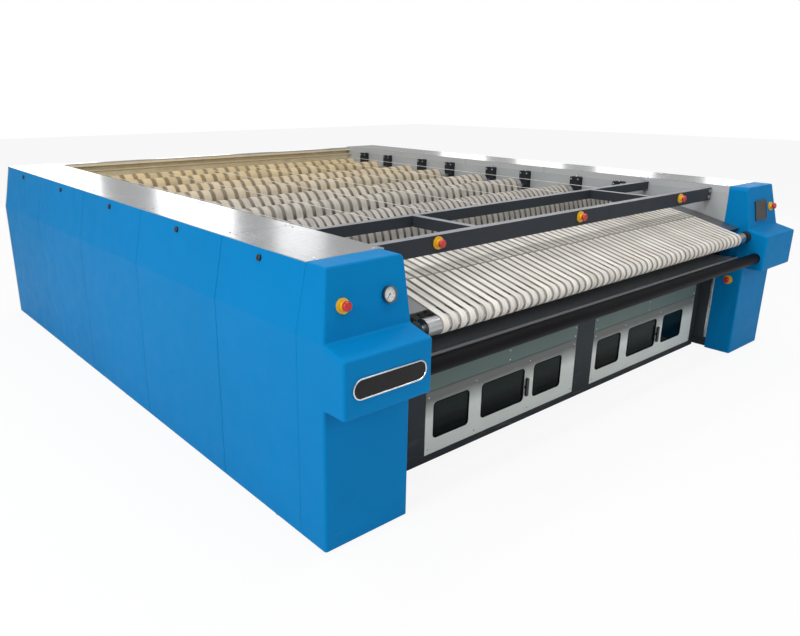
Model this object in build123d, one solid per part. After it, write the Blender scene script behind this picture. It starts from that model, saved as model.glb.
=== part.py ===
from build123d import *
import math
import os

# Industrial flatwork ironer: a feed-through machine with four heated rolls between two side housings.
# Millimetres, +X to the operator's right, +Y from the feed end to the outlet, +Z up.
# The origin is on the floor under the middle of the footprint. In this file a place along the machine
# is a "station": its distance behind the front face of the two blue columns.

os.makedirs("parts", exist_ok=True)

# ---- Overall sizes
overall_width = 4250.0
housing_width = 470.0
housing_depth = 4550.0
top_front = 1228.0
top_rise = 47.0
nose_reach = 128.0
nose_bottom = 660.0
nose_top = 907.0
crease = 940.0
side_lean = 0.202
front_lean = 0.192
cap_depth = 180.0
panel_bottom = 8.0
panel_first_seam = 850.0
panel_pitch = 921.0
seam = 3.0
sheet = 3.0
edge_round = 12.0
top_round = 30.0
cover_flange = 48.0
panel_flange = 25.0

# ---- Base frame, side frames and feet
rail_height = 60.0
rail_width = 100.0
outer_rail_width = 60.0
rail_wall = 5.0
ground_clearance = 20.0
beam_width = 80.0
front_beam_gap = 3.0
rear_beam_inset = 70.0
side_plate = 12.0
foot_radius = 30.0
foot_pad = 8.0
foot_stud_radius = 14.0
anchor_plate = 12.0
anchor_plate_length = 130.0
anchor_hole_radius = 9.0

# ---- Rolls, guide rollers and belts
roll_pitch = 925.0
first_roll = 1224.5
last_roll_to_rear = 550.0
roll_height = 560.0
roll_radius = 400.0
roll_wall = 15.0
roll_head = 20.0
roll_gap_to_wall = 55.0
journal_radius = 60.0
journal_inset = 185.0
journal_bore = 20.0
bearing_clearance = 0.3
running_gap = 0.6
guide_spread = 395.0
guide_radius = 70.0
guide_height = 1068.0
deck_slope = 0.0112
guide_inset = 155.0
guide_journal_radius = 20.0
guide_wall = 5.0
belt_thickness = 3.0
deck_belt_inset = 255.0
deck_belt_counts = (50, 35, 29, 25)
deck_belt_widths = (40.0, 56.0, 68.0, 80.0)
tension_bar_radius = 15.0
tension_bar_height = 1000.0

# ---- Feed table
feed_front_station = 20.0
feed_front_height = 888.0
feed_rear_station = 640.0
feed_rear_height = 1033.0
feed_roller_radius = 42.0
feed_roller_inset = 85.0
feed_journal_radius = 15.0
feed_belt_pitch = 57.4
feed_belt_inset = 171.0
feed_belt_width = 40.0
bed_crease_station = 335.0
bed_crease_height = 1009.0
bed_crease_radius = 5.0
bed_plate = 4.0
bed_roller_gap = 12.0
tray_top = 803.0
tray_top_front = 100.0
tray_bottom = 727.0
tray_lip_front = 50.0
tray_lip = 14.0
bar_station = -66.0
bar_height = 745.0
bar_radius = 37.5
bar_wall = 3.0

# ---- Front frame and doors
front_plane = 280.0
frame_depth = 60.0
frame_wall = 4.0
frame_bottom = 5.0
door_bottom = 45.0
fascia_top = 500.0
frame_rail = 60.0
left_post = 389.0
centre_post = 192.0
centre_post_x = 153.0
right_post = 63.0
door_gap = 2.0
door_depth = 20.0
hinge_height = 407.5
hinge_radius = 4.0
hinge_inset = 4.0
hinge_clearance = 0.3
window_bottom = 133.0
window_top = 335.0
window_corner = 22.0
left_stiles = (62.0, 108.0, 94.0, 151.0)
left_window_shares = (270.0, 371.0, 267.0)
right_stiles = (51.0, 105.0, 99.0, 170.0)
right_window_shares = (275.0, 366.0, 277.0)
pane_lap = 10.0
pane_thickness = 4.0
latch_from_window = 21.0
latch_height = 216.0
latch_length = 116.0
latch_width = 24.0
latch_thickness = 10.0
latch_stand_off = 8.0
latch_shaft_radius = 8.0

# ---- Gantry over the feed end
gantry_front = 305.0
gantry_rear = 790.0
gantry_front_depth = 50.0
gantry_rear_depth = 45.0
gantry_bottom = 1120.0
gantry_height = 90.0
gantry_rear_height = 62.0
gantry_wall = 4.0
gantry_tie_width = 45.0
gantry_tie_x = 875.0
gantry_estop_inset = 461.0
gantry_estop_height = 1172.0

# ---- Controls
estop_collar_radius = 32.0
estop_collar = 8.0
estop_neck_radius = 18.0
estop_neck = 12.0
estop_stem_radius = 8.0
estop_cap_radius = 21.0
estop_cap = 14.0
estop_travel = 5.0
estop_rest_gap = 6.0
cap_estop_inset = 116.0
cap_estop_height = 1072.0
column_estop_station = 89.0
column_estop_height = 561.0
gauge_from_wall = 112.0
gauge_height = 1076.0
gauge_radius = 36.0
gauge_depth = 16.0
gauge_rim = 5.0
gauge_recess = 8.0
dial_thickness = 1.0
needle_length = 25.0
needle_width = 2.4
needle_thickness = 1.0
needle_hub_radius = 4.0
needle_gap = 0.3
needle_zero = 225.0
screen_from_wall = 188.0
screen_height = 1060.0
screen_size = (183.0, 140.0)
screen_border = 11.0
screen_depth = 9.0
screen_recess = 3.0
screen_corner = 8.0
lock_radius = 15.0
lock_thickness = 10.0
lock_drop = 45.0
lock_slot = 3.0

# ---- Drive, steam, strings, combs and rear cover
roll_bearing_size = 220.0
roll_bearing_flange = 24.0
roll_bearing_boss = 92.0
roll_bearing_depth = 60.0
guide_bearing_depth = 50.0
guide_bearing_width = 90.0
guide_bearing_below = 60.0
guide_bearing_above = 125.0
feed_bearing_radius = 40.0
sprocket_radius = 150.0
sprocket_width = 20.0
sprocket_from_wall = 95.0
chain_width = 26.0
chain_thickness = 12.0
gearbox_from_wall = 120.0
gearbox_depth = 160.0
gearbox_width = 220.0
gearbox_height = 270.0
motor_radius = 85.0
motor_length = 300.0
torque_arm = 20.0
header_inset = 140.0
header_height = 860.0
header_radius = 30.15
header_bore = 27.15
branch_radius = 21.0
branch_bore = 17.0
union_radius = 45.0
union_length = 100.0
flange_radius = 82.5
flange_thickness = 18.0
flange_pitch_radius = 62.5
flange_hole_radius = 9.0
hanger = 20.0
string_radius = 2.0
string_count = 7
string_pitch = 460.0
string_rise = 16.0
string_bar_radius = 8.0
string_bar_to_rear = 75.0
comb_bar = 40.0
comb_bar_top = 1060.0
comb_finger_height = 25.0
comb_finger_width = 26.0
comb_finger_length = 90.0
comb_pitch = 100.0
outlet_bottom = 780.0
outlet_top = 960.0
rear_lip = 60.0
rear_drop = 8.0
chute_length = 125.0
chute_rise = 20.0

# ---- Places that follow from the sizes above
half_width = overall_width / 2
inner_x = half_width - housing_width
top_rear = top_front + top_rise
columns_front = nose_reach - (housing_depth + nose_reach) / 2
headroom = top_rear + 2 * cover_flange
beyond = nose_reach + overall_width
rail_top = ground_clearance + rail_height
module_count = int((housing_depth - first_roll - last_roll_to_rear) / roll_pitch) + 1
roll_stations = [first_roll + k * roll_pitch for k in range(module_count)]
guide_places = [("front", -guide_spread / 2), ("rear", guide_spread / 2)]
roll_end = inner_x - roll_gap_to_wall
guide_half_length = inner_x - guide_inset
feed_roller_half_length = inner_x - feed_roller_inset
guide_bearing_front = inner_x - guide_bearing_depth
deck_belt_span = 2 * (inner_x - deck_belt_inset)
feed_belt_span = 2 * (inner_x - feed_belt_inset) - feed_belt_width
feed_belt_count = int(feed_belt_span / feed_belt_pitch) + 1
comb_count = int(deck_belt_span / comb_pitch) + 1
journal_end = half_width - journal_inset
sprocket_place = inner_x + sprocket_from_wall
gearbox_place = inner_x + gearbox_from_wall
header_x = header_inset - half_width
cap_estop_x = half_width - cap_estop_inset
gantry_estop_x = inner_x - gantry_estop_inset
gauge_x = -inner_x - gauge_from_wall
screen_x = inner_x + screen_from_wall
string_bar_station = housing_depth - string_bar_to_rear
chute_front = housing_depth - chute_length
left_door = (left_post - inner_x, centre_post_x - centre_post / 2)
right_door = (centre_post_x + centre_post / 2, inner_x - right_post)
beam_first = front_plane + frame_depth + front_beam_gap + beam_width / 2
beam_stations = [beam_first] + roll_stations + [housing_depth - rear_beam_inset]
door_top = hinge_height - hinge_radius - hinge_clearance
fascia_bottom = hinge_height + hinge_radius


# ---- Helpers
def row(station):
    """The Y of a station."""
    return columns_front + station


def top_at(station):
    """Height of the housings' top, which climbs to the rear."""
    return top_front + (top_rear - top_front) * station / housing_depth


def guide_z(station):
    """Height of a guide roller's axis, on the deck's slight climb."""
    return guide_height + deck_slope * (station - first_roll)


def block(x0, x1, y0, y1, z0, z1):
    """Box between two corners, with its y given as stations."""
    middle = Pos((x0 + x1) / 2, row((y0 + y1) / 2), (z0 + z1) / 2)
    return middle * Box(x1 - x0, y1 - y0, z1 - z0)


def rod_x(x0, x1, y, z, radius):
    """Round bar along X."""
    return Pos((x0 + x1) / 2, row(y), z) * Rot(0, 90, 0) * Cylinder(radius, x1 - x0)


def rod_y(x, y0, y1, z, radius):
    """Round bar along Y."""
    return Pos(x, row((y0 + y1) / 2), z) * Rot(90, 0, 0) * Cylinder(radius, y1 - y0)


def rod_z(x, y, z0, z1, radius):
    """Round bar along Z."""
    return Pos(x, row(y), (z0 + z1) / 2) * Cylinder(radius, z1 - z0)


def across(face, x0, x1):
    """Prism along X on a face whose coordinates are (station, height)."""
    plane = Plane(origin=(x0, columns_front, 0), x_dir=(0, 1, 0), z_dir=(1, 0, 0))
    return extrude(plane * face, x1 - x0)


def along_x(outline, x0, x1):
    """Prism along X on an outline of (station, height) points."""
    return across(make_face(Polyline(*outline, close=True)), x0, x1)


def along_y(outline, y0, y1):
    """Prism along Y on an outline of (x, height) points."""
    plane = Plane(origin=(0, row(y0), 0), x_dir=(1, 0, 0), z_dir=(0, -1, 0))
    return extrude(plane * make_face(Polyline(*outline, close=True)), y0 - y1)


def over_top(drop):
    """Everything above a plane that lies drop under the housings' top."""
    y0 = -beyond
    y1 = housing_depth + beyond
    outline = [(y0, top_at(y0) - drop), (y1, top_at(y1) - drop), (y1, headroom), (y0, headroom)]
    return along_x(outline, -overall_width, overall_width)


def outside_band(inset):
    """Everything outside the right housing's leaning band, moved in by inset."""
    foot = half_width - inset
    outline = [(foot, crease), (foot - side_lean * (headroom - crease), headroom)]
    outline += [(overall_width, headroom), (overall_width, crease)]
    return along_y(outline, -beyond, housing_depth + beyond)


def solids_of(shape):
    """The shape's solids as a list."""
    return list(shape.solids())


def group(shapes):
    """Several pieces kept apart in one node."""
    pieces = []
    for shape in shapes:
        pieces += solids_of(shape)
    return Compound(children=pieces)


def save(name, shape):
    """Write one node."""
    export_step(shape, "parts/" + name + ".step")


def left_of(shape):
    """The same piece on the left side."""
    return mirror(shape, about=Plane.YZ)


def inset(outline, wall):
    """A clockwise outline with each of its sides moved in by wall."""
    count = len(outline)
    moved = []
    for k in range(count):
        (y0, z0), (y1, z1), (y2, z2) = outline[k - 1], outline[k], outline[(k + 1) % count]
        a = math.atan2(z1 - z0, y1 - y0)
        b = math.atan2(z2 - z1, y2 - y1)
        reach = wall / math.cos((b - a) / 2)
        middle = (a + b) / 2
        moved.append((y1 + reach * math.sin(middle), z1 - reach * math.cos(middle)))
    return moved


# ---- Side housings: caps, side panels, top covers
def cap_volume(wall):
    """The right cap's outer form, or the space inside its sheet."""
    back = cap_depth + 2 * wall
    floor = panel_bottom - 2 * wall
    lean = front_lean * (headroom - crease)
    outline = [(0, floor), (0, nose_bottom), (-nose_reach, nose_bottom), (-nose_reach, nose_top)]
    outline += [(0, crease), (lean, headroom), (back, headroom), (back, floor)]
    face = make_face(Polyline(*inset(outline, wall), close=True))
    corners = [v for v in face.vertices() if v.X < wall + 1 and v.Y > nose_bottom - 1]
    face = fillet(corners, edge_round - wall)
    cap = across(face, inner_x + wall, half_width - wall)
    cap = cap - outside_band(wall) - over_top(wall)
    cap = fillet(cap_edges(cap, wall, True), top_round - wall)
    return fillet(cap_edges(cap, wall, False), edge_round - wall)


def cap_edges(cap, wall, inner):
    """The cap's bent edges: along its inner top, or round its outer side and its front top."""
    edges = []
    band_top = half_width - side_lean * (top_rear - crease)
    for edge in cap.edges():
        middle = edge.center()
        station = middle.Y - columns_front
        direction = edge.tangent_at(0.5)
        crosswise = abs(direction.X) > abs(direction.Y) + abs(direction.Z)
        lengthwise = abs(direction.Y) > abs(direction.X) + abs(direction.Z)
        on_crease = abs(middle.Z - crease) < wall + 1 and lengthwise
        open_edge = station > cap_depth - 1 or middle.Z < panel_bottom + 1
        on_top = middle.Z > top_front - wall - 1
        if inner:
            picked = lengthwise and on_top and middle.X < inner_x + wall + 1
        else:
            on_side = middle.X > band_top - wall - 2 and not crosswise and not on_crease
            on_front = on_top and crosswise
            picked = (on_side or on_front) and not open_edge
        if picked:
            edges.append(edge)
    return edges


def front_cap():
    """Blue sheet cap of the right column, open at its back and its bottom."""
    return cap_volume(0) - cap_volume(sheet)


def panel_seams():
    """Stations where the side panels and the top covers meet."""
    count = round((housing_depth - panel_first_seam) / panel_pitch)
    return [cap_depth] + [panel_first_seam + k * panel_pitch for k in range(count)] + [rear_return()]


def rear_return():
    """Station where the rear wall's side return begins."""
    return housing_depth - 5 * sheet


def bays():
    """Front and rear station of each panel, clear of its seams."""
    seams = panel_seams()
    return [(a + seam / 2, b - seam / 2) for a, b in zip(seams[:-1], seams[1:])]


def side_panel(y0, y1):
    """One lift-off panel: wall, leaning band and the flange under the top cover."""
    x_flange = half_width - side_lean * (max(top_front, top_rear) - crease) - panel_flange
    outer = block(x_flange, half_width, y0, y1, panel_bottom, headroom)
    outer = outer - outside_band(0) - over_top(sheet)
    inner = block(x_flange - 1, half_width - sheet, y0 - 1, y1 + 1, panel_bottom - 1, headroom)
    inner = inner - outside_band(sheet) - over_top(2 * sheet)
    return outer - inner


def top_cover(y0, y1):
    """One stainless cover with its flange down the inner wall."""
    lid = block(inner_x, half_width, y0, y1, crease, headroom) - outside_band(0) - over_top(0)
    lid = lid & over_top(sheet)
    back = min(y1, housing_depth - sheet)
    flange = block(inner_x, inner_x + sheet, y0, back, crease, headroom) - over_top(sheet)
    flange = flange & over_top(cover_flange)
    return lid + flange


def lock_plane(station):
    """Plane on the right band's outer face, a little under its top edge."""
    z = top_at(station) - lock_drop
    x = half_width - side_lean * (z - crease)
    return Plane(origin=(x, row(station), z), x_dir=(0, 1, 0), z_dir=(1, 0, side_lean))


def panel_lock(station):
    """Round quarter-turn lock with a slot for a coin."""
    body = Pos(0, 0, lock_thickness / 2) * Cylinder(lock_radius, lock_thickness)
    rim = body.edges().group_by(Axis.Z)[-1]
    body = fillet(rim, lock_slot)
    slot = Pos(0, 0, lock_thickness) * Box(lock_slot, 2 * lock_radius - 2 * lock_slot, lock_slot)
    return lock_plane(station) * (body - slot)


# ---- Frame
def tube(x0, x1, y0, y1, along):
    """Length of box section at the height of the rails, open at both ends."""
    w = rail_wall
    inside = (x0 + w, x1 - w, y0 - 1, y1 + 1) if along == "y" else (x0 - 1, x1 + 1, y0 + w, y1 - w)
    hollow = block(*inside, ground_clearance + w, rail_top - w)
    return block(x0, x1, y0, y1, ground_clearance, rail_top) - hollow


def base_frame():
    """Rails and cross beams of box section, welded end to side, with the anchor plates."""
    z0 = ground_clearance
    outer_x = half_width - sheet
    back = housing_depth - sheet
    inner_side = inner_x + rail_width
    outer_side = outer_x - outer_rail_width
    half = beam_width / 2
    right = [tube(inner_x, inner_side, cap_depth, back, "y"), tube(outer_side, outer_x, edge_round, back, "y")]
    right += [tube(inner_side, outer_side, y - half, y + half, "x") for y in beam_stations]
    for x, y in anchor_places():
        y0 = y - anchor_plate_length / 2
        plate = block(inner_side, outer_side, y0, y0 + anchor_plate_length, z0, z0 + anchor_plate)
        right.append(plate - rod_z(x, y, 0, rail_top, anchor_hole_radius))
    middle = [tube(-inner_x, inner_x, y - half, y + half, "x") for y in beam_stations]
    return group(middle + right + [left_of(piece) for piece in right])


def anchor_places():
    """Where the floor anchors go through, on the right side."""
    x = (inner_x + rail_width + half_width - sheet - outer_rail_width) / 2
    reach = (beam_width + anchor_plate_length) / 2
    return [(x, beam_stations[0] + reach), (x, beam_stations[-1] - reach)]


def levelling_feet():
    """Round pads with their studs, under the rails."""
    feet = []
    columns = [inner_x + rail_width / 2, half_width - sheet - outer_rail_width / 2]
    for side in (-1, 1):
        for x in columns:
            for y in (beam_stations[0], beam_stations[2], beam_stations[3], beam_stations[-1]):
                pad = rod_z(side * x, y, 0, foot_pad, foot_radius)
                stud = rod_z(side * x, y, foot_pad, ground_clearance, foot_stud_radius)
                feet.append(pad + stud)
    return group(feet)


def side_frame():
    """Thick plate that carries the rolls' bearings, right side."""
    plate = block(inner_x, inner_x + side_plate, cap_depth, housing_depth - sheet, rail_top, headroom)
    plate -= over_top(cover_flange)
    for y in roll_stations:
        plate -= rod_x(inner_x - 1, inner_x + side_plate + 1, y, roll_height, journal_radius + side_plate)
    return plate


def front_frame():
    """Folded frame round the two doors, with the wall above them."""
    y0 = front_plane
    y1 = front_plane + frame_depth
    w = frame_wall
    frame = block(-inner_x, inner_x, y0, y1, frame_bottom, fascia_top + frame_rail)
    for x0, x1 in (left_door, right_door):
        frame -= block(x0, x1, y0 - 1, y1 + 1, door_bottom, fascia_top)
    posts = [(-inner_x, left_door[0]), (left_door[1], right_door[0]), (right_door[1], inner_x)]
    for x0, x1 in posts:
        frame -= block(x0 + w, x1 - w, y0 + w, y1 + 1, door_bottom + w, fascia_top - w)
    frame -= block(w - inner_x, inner_x - w, y0 + w, y1 + 1, frame_bottom + w, door_bottom - w)
    frame -= block(w - inner_x, inner_x - w, y0 + w, y1 + 1, fascia_top + w, fascia_top + frame_rail - w)
    frame += block(-inner_x, inner_x, y0, y0 + w, fascia_top + frame_rail, tray_top)
    return frame


def gantry_frame():
    """A deep front beam, and a lower rear beam and two ties with their tops flush, all hollow."""
    top = gantry_bottom + gantry_height
    low = top - gantry_rear_height
    w = gantry_wall
    front = (gantry_front, gantry_front + gantry_front_depth, gantry_bottom)
    rear = (gantry_rear, gantry_rear + gantry_rear_depth, low)
    outer = Part()
    inner = Part()
    for y0, y1, z0 in (front, rear):
        outer += block(-inner_x, inner_x, y0, y1, z0, top)
        inner += block(-inner_x, inner_x, y0 + w, y1 - w, z0 + w, top - w)
    y0 = front[1] - w
    y1 = rear[0] + w
    half = gantry_tie_width / 2
    for x in (-gantry_tie_x, gantry_tie_x):
        outer += block(x - half, x + half, y0, y1, low, top)
        inner += block(x - half + w, x + half - w, y0, y1, low + w, top - w)
    return outer - inner


# ---- Doors
def windows_in(door, stiles, shares):
    """Left and right edge of each window: the stiles keep their width and the windows share the rest."""
    glass = door[1] - door[0] - sum(stiles)
    edges = []
    x = door[0]
    for stile, share in zip(stiles, shares):
        width = glass * share / sum(shares)
        edges.append((x + stile, x + stile + width))
        x += stile + width
    return edges


def rounded_window(x0, x1, y0, y1):
    """Prism of one round-cornered window."""
    z = (window_bottom + window_top) / 2
    outline = RectangleRounded(x1 - x0, window_top - window_bottom, window_corner)
    plane = Plane(origin=((x0 + x1) / 2, row(y0), z), x_dir=(1, 0, 0), z_dir=(0, -1, 0))
    return extrude(plane * outline, y0 - y1)


def folded_panel(x0, x1, z0, z1):
    """Sheet panel whose four edges are folded back."""
    y0 = front_plane
    y1 = front_plane + door_depth
    skin = block(x0, x1, y0, y1, z0, z1)
    return skin - block(x0 + sheet, x1 - sheet, y0 + sheet, y1 + 1, z0 + sheet, z1 - sheet)


def window_door(span, windows, latch_x):
    """Door with three windows and the latch's hole."""
    door = folded_panel(span[0] + door_gap, span[1] - door_gap, door_bottom + door_gap, door_top)
    for x0, x1 in windows:
        door -= rounded_window(x0, x1, front_plane - 1, front_plane + sheet + 1)
    hole = rod_y(latch_x, front_plane - 1, front_plane + sheet + 1, latch_height, latch_shaft_radius + 1)
    return door - hole


def door_panes(windows):
    """Glass plates behind the windows, lying on the door's skin."""
    y0 = front_plane + sheet
    panes = []
    for x0, x1 in windows:
        z0 = window_bottom - pane_lap
        z1 = window_top + pane_lap
        panes.append(block(x0 - pane_lap, x1 + pane_lap, y0, y0 + pane_thickness, z0, z1))
    return group(panes)


def door_latch(x):
    """Handle, shaft and the cam behind the door's skin."""
    y1 = front_plane - latch_stand_off
    y0 = y1 - latch_thickness
    z = latch_height
    half = latch_width / 2
    handle = block(x - half, x + half, y0, y1, z - latch_length / 2, z + latch_length / 2)
    handle = fillet(handle.edges().filter_by(Axis.Y), half - 1)
    handle = fillet(handle.faces().sort_by(Axis.Y)[0].edges(), latch_thickness / 4)
    boss = rod_y(x, y1, front_plane - bearing_clearance, z, half)
    shaft = rod_y(x, y1, front_plane + door_depth - sheet, z, latch_shaft_radius)
    y2 = front_plane + door_depth - 2 * sheet
    cam = block(x - half / 2, x + half / 2, y2 - sheet, y2, z - 2 * half, z)
    return handle + boss + shaft + cam


def door_fascias():
    """Fixed fascias over the doors with the hinge rod under each."""
    pieces = []
    y = front_plane + hinge_inset
    for x0, x1 in (left_door, right_door):
        pieces.append(folded_panel(x0, x1, fascia_bottom, fascia_top))
        pieces.append(rod_x(x0, x1, y, hinge_height, hinge_radius))
    return group(pieces)


# ---- Belts and what they run on
def tangent(first, second):
    """Where a belt leaves one wheel and reaches the next, and its direction.

    A wheel is (station, height, radius), its radius negative where the belt passes it on the outside.
    """
    dy = second[0] - first[0]
    dz = second[1] - first[1]
    reach = math.hypot(dy, dz)
    angle = math.atan2(dz, dy) - math.asin((second[2] - first[2]) / reach)
    ends = []
    for y, z, radius in (first, second):
        ends.append((y + radius * math.sin(angle), z - radius * math.cos(angle)))
    return ends[0], ends[1], angle


def loop_face(wheels):
    """Face inside a belt's line round wheels that are listed anticlockwise."""
    count = len(wheels)
    runs = [tangent(wheels[k], wheels[(k + 1) % count]) for k in range(count)]
    edges = []
    for k in range(count):
        start, end, angle = runs[k]
        edges.append(Line(start, end))
        y, z, radius = wheels[(k + 1) % count]
        following = runs[(k + 1) % count]
        turn = (following[2] - angle) % (2 * math.pi)
        if radius < 0:
            turn -= 2 * math.pi
        middle = angle + turn / 2
        point = (y + radius * math.sin(middle), z - radius * math.cos(middle))
        edges.append(ThreePointArc(end, point, following[0]))
    return make_face(edges)


def grown(wheels, near, far):
    """Wheels grown by the belt's near face inside the loop and by its far face outside it."""
    return [(y, z, r + near if r > 0 else r - far) for y, z, r in wheels]


def belt(wheels, width, thickness, gap):
    """Endless belt round the wheels, centred on x = 0."""
    outer = loop_face(grown(wheels, gap + thickness, gap))
    inner = loop_face(grown(wheels, gap, gap + thickness))
    return across(outer, -width / 2, width / 2) - across(inner, -width / 2, width / 2)


def belt_row(one, count, pitch):
    """Copies of a belt side by side."""
    start = -pitch * (count - 1) / 2
    return group([Pos(start + k * pitch, 0, 0) * one for k in range(count)])


def feed_wheels():
    """Front roller, rear roller and the bed's crease."""
    front = (feed_front_station, feed_front_height, feed_roller_radius)
    rear = (feed_rear_station, feed_rear_height, feed_roller_radius)
    return [front, rear, (bed_crease_station, bed_crease_height, bed_crease_radius)]


def feed_bed():
    """Bent plate under the feed belts' upper run."""
    front, rear, bend = feed_wheels()
    rear_touch, bend_rear, _ = tangent(rear, bend)
    bend_front, front_touch, _ = tangent(bend, front)
    y0 = front[0] + front[2] + bed_roller_gap
    y1 = rear[0] - rear[2] - bed_roller_gap
    share_front = (y0 - front_touch[0]) / (bend_front[0] - front_touch[0])
    share_rear = (y1 - bend_rear[0]) / (rear_touch[0] - bend_rear[0])
    z0 = front_touch[1] + share_front * (bend_front[1] - front_touch[1])
    z1 = bend_rear[1] + share_rear * (rear_touch[1] - bend_rear[1])
    top = [(y0, z0), bend_front, bend_rear, (y1, z1)]
    under = [(y, z - bed_plate) for y, z in reversed(top)]
    return along_x(top + under, -inner_x, inner_x)


def roller(station, height, radius, wall, half_length, pin_radius, pin_end):
    """Tube roller with solid ends and journals, turned about X."""
    inside = radius - wall
    outline = [(-pin_end, 0), (-pin_end, pin_radius), (-half_length, pin_radius), (-half_length, radius)]
    outline += [(half_length, radius), (half_length, pin_radius), (pin_end, pin_radius), (pin_end, 0)]
    solid = turned(outline, station, height)
    hollow = rod_x(2 * wall - half_length, half_length - 2 * wall, station, height, inside)
    return solid - hollow


def turned(outline, station, height):
    """Solid of revolution about X on an outline of (x, radius) points."""
    plane = Plane(origin=(0, row(station), height), x_dir=(1, 0, 0), z_dir=(0, -1, 0))
    axis = Axis((0, row(station), height), (1, 0, 0))
    return revolve(plane * make_face(Polyline(*outline, close=True)), axis, 360)


def heated_roll(station):
    """Steam-heated roll with hollow journals, and the chain's wheel on its right journal."""
    head = roll_end - roll_head
    inside = roll_radius - roll_wall
    ends = [(-journal_end, journal_bore), (-journal_end, journal_radius), (-roll_end, journal_radius)]
    ends += [(-roll_end, roll_radius), (roll_end, roll_radius), (roll_end, journal_radius)]
    ends += [(journal_end, journal_radius), (journal_end, journal_bore), (head, journal_bore)]
    ends += [(head, inside), (-head, inside), (-head, journal_bore)]
    x0 = sprocket_place - sprocket_width / 2
    x1 = sprocket_place + sprocket_width / 2
    wheel = rod_x(x0, x1, station, roll_height, sprocket_radius)
    wheel -= rod_x(x0 - 1, x1 + 1, station, roll_height, journal_radius)
    return group([turned(ends, station, roll_height), wheel])


def deck_wheels(station):
    """Roll, rear guide roller, tension bar and front guide roller of one module."""
    front = station - guide_spread / 2
    rear = station + guide_spread / 2
    wheels = [(station, roll_height, roll_radius), (rear, guide_z(rear), guide_radius)]
    return wheels + [(station, tension_bar_height, -tension_bar_radius), (front, guide_z(front), guide_radius)]


def tension_bars():
    """Fixed bars that pull the belts' upper run down between the guide rollers."""
    bars = [rod_x(-inner_x, inner_x, y, tension_bar_height, tension_bar_radius) for y in roll_stations]
    return group(bars)


def feed_tray():
    """Open channel under the feed table, with its front lip."""
    y1 = front_plane
    tray = block(-inner_x, inner_x, tray_top_front, y1, tray_top - sheet, tray_top)
    tray += block(-inner_x, inner_x, y1 - sheet, y1, tray_bottom, tray_top)
    tray += block(-inner_x, inner_x, tray_lip_front, y1, tray_bottom, tray_bottom + sheet)
    tray += block(-inner_x, inner_x, tray_lip_front, tray_lip_front + sheet, tray_bottom, tray_bottom + tray_lip)
    return tray


def guard_bar():
    """Padded safety tube across the feed edge, free to be pushed back."""
    reach = inner_x - bearing_clearance
    tube = rod_x(-reach, reach, bar_station, bar_height, bar_radius)
    return tube - rod_x(-reach, reach, bar_station, bar_height, bar_radius - bar_wall)


# ---- Bearings, drive and steam
def roll_bearing(station, side):
    """Flanged unit on the outer face of the side frame."""
    x0 = inner_x + side_plate
    half = roll_bearing_size / 2
    z = roll_height
    unit = block(x0, x0 + roll_bearing_flange, station - half, station + half, z - half, z + half)
    unit = fillet(unit.edges().filter_by(Axis.X), half / 4)
    unit += rod_x(x0, x0 + roll_bearing_depth, station, z, roll_bearing_boss)
    unit -= rod_x(x0 - 1, x0 + roll_bearing_depth + 1, station, z, journal_radius + bearing_clearance)
    return unit if side > 0 else left_of(unit)


def guide_bearing(station, height, pin_radius, side):
    """Take-up bearing on the inner face of the side frame."""
    half = guide_bearing_width / 2
    y0 = station - half
    y1 = station + half
    z1 = height + guide_bearing_above
    unit = block(guide_bearing_front, inner_x, y0, y1, height - guide_bearing_below, z1)
    unit = fillet(unit.edges().filter_by(Axis.X), half / 4)
    unit -= rod_x(guide_bearing_front - 1, inner_x + 1, station, height, pin_radius + bearing_clearance)
    return unit if side > 0 else left_of(unit)


def feed_bearing(side):
    """Round black bearing at one end of the front feed roller."""
    y = feed_front_station
    z = feed_front_height
    unit = rod_x(guide_bearing_front, inner_x, y, z, feed_bearing_radius)
    unit -= rod_x(guide_bearing_front - 1, inner_x + 1, y, z, feed_journal_radius + bearing_clearance)
    return unit if side > 0 else left_of(unit)


def rear_feed_bearing(side):
    """Low bearing block of the rear feed roller."""
    half = feed_bearing_radius
    y = feed_rear_station
    z = feed_rear_height
    unit = block(guide_bearing_front, inner_x, y - half, y + half, z - half, z + half)
    unit = fillet(unit.edges().filter_by(Axis.X), half / 4)
    unit -= rod_x(guide_bearing_front - 1, inner_x + 1, y, z, feed_journal_radius + bearing_clearance)
    return unit if side > 0 else left_of(unit)


def bearing_blocks():
    """All bearings, left and right."""
    units = []
    for side in (-1, 1):
        units += [feed_bearing(side), rear_feed_bearing(side)]
        for station in roll_stations:
            units.append(roll_bearing(station, side))
            for _, shift in guide_places:
                y = station + shift
                units.append(guide_bearing(y, guide_z(y), guide_journal_radius, side))
    return group(units)


def gear_motor():
    """Hollow-shaft gearbox on the first roll's journal, its motor and its torque arm."""
    y = first_roll
    z = roll_height
    x0 = gearbox_place
    x1 = gearbox_place + gearbox_depth
    half_y = gearbox_width / 2
    half_z = gearbox_height / 2
    box = block(x0, x1, y - half_y, y + half_y, z - half_z, z + half_z)
    box = fillet(box.edges().filter_by(Axis.X), half_y / 4)
    box -= rod_x(x0 - 1, x1 + 1, y, z, journal_radius + bearing_clearance)
    middle = (x0 + x1) / 2
    top = z + half_z
    box += rod_z(middle, y, top - torque_arm, top + torque_arm, motor_radius * 0.7)
    motor = rod_z(middle, y, top + torque_arm, top + torque_arm + motor_length, min(motor_radius, gearbox_depth / 2))
    arm_x = x0 + torque_arm
    arm = block(x0, arm_x, y - torque_arm, y + torque_arm, rail_top, z - half_z)
    return group([box, motor, arm])


def drive_chain():
    """Chain round the wheels of the first and the last roll, touching those between."""
    wheels = [(y, roll_height, sprocket_radius) for y in (roll_stations[0], roll_stations[-1])]
    return Pos(sprocket_place, 0, 0) * belt(wheels, chain_width, chain_thickness, running_gap)


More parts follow.
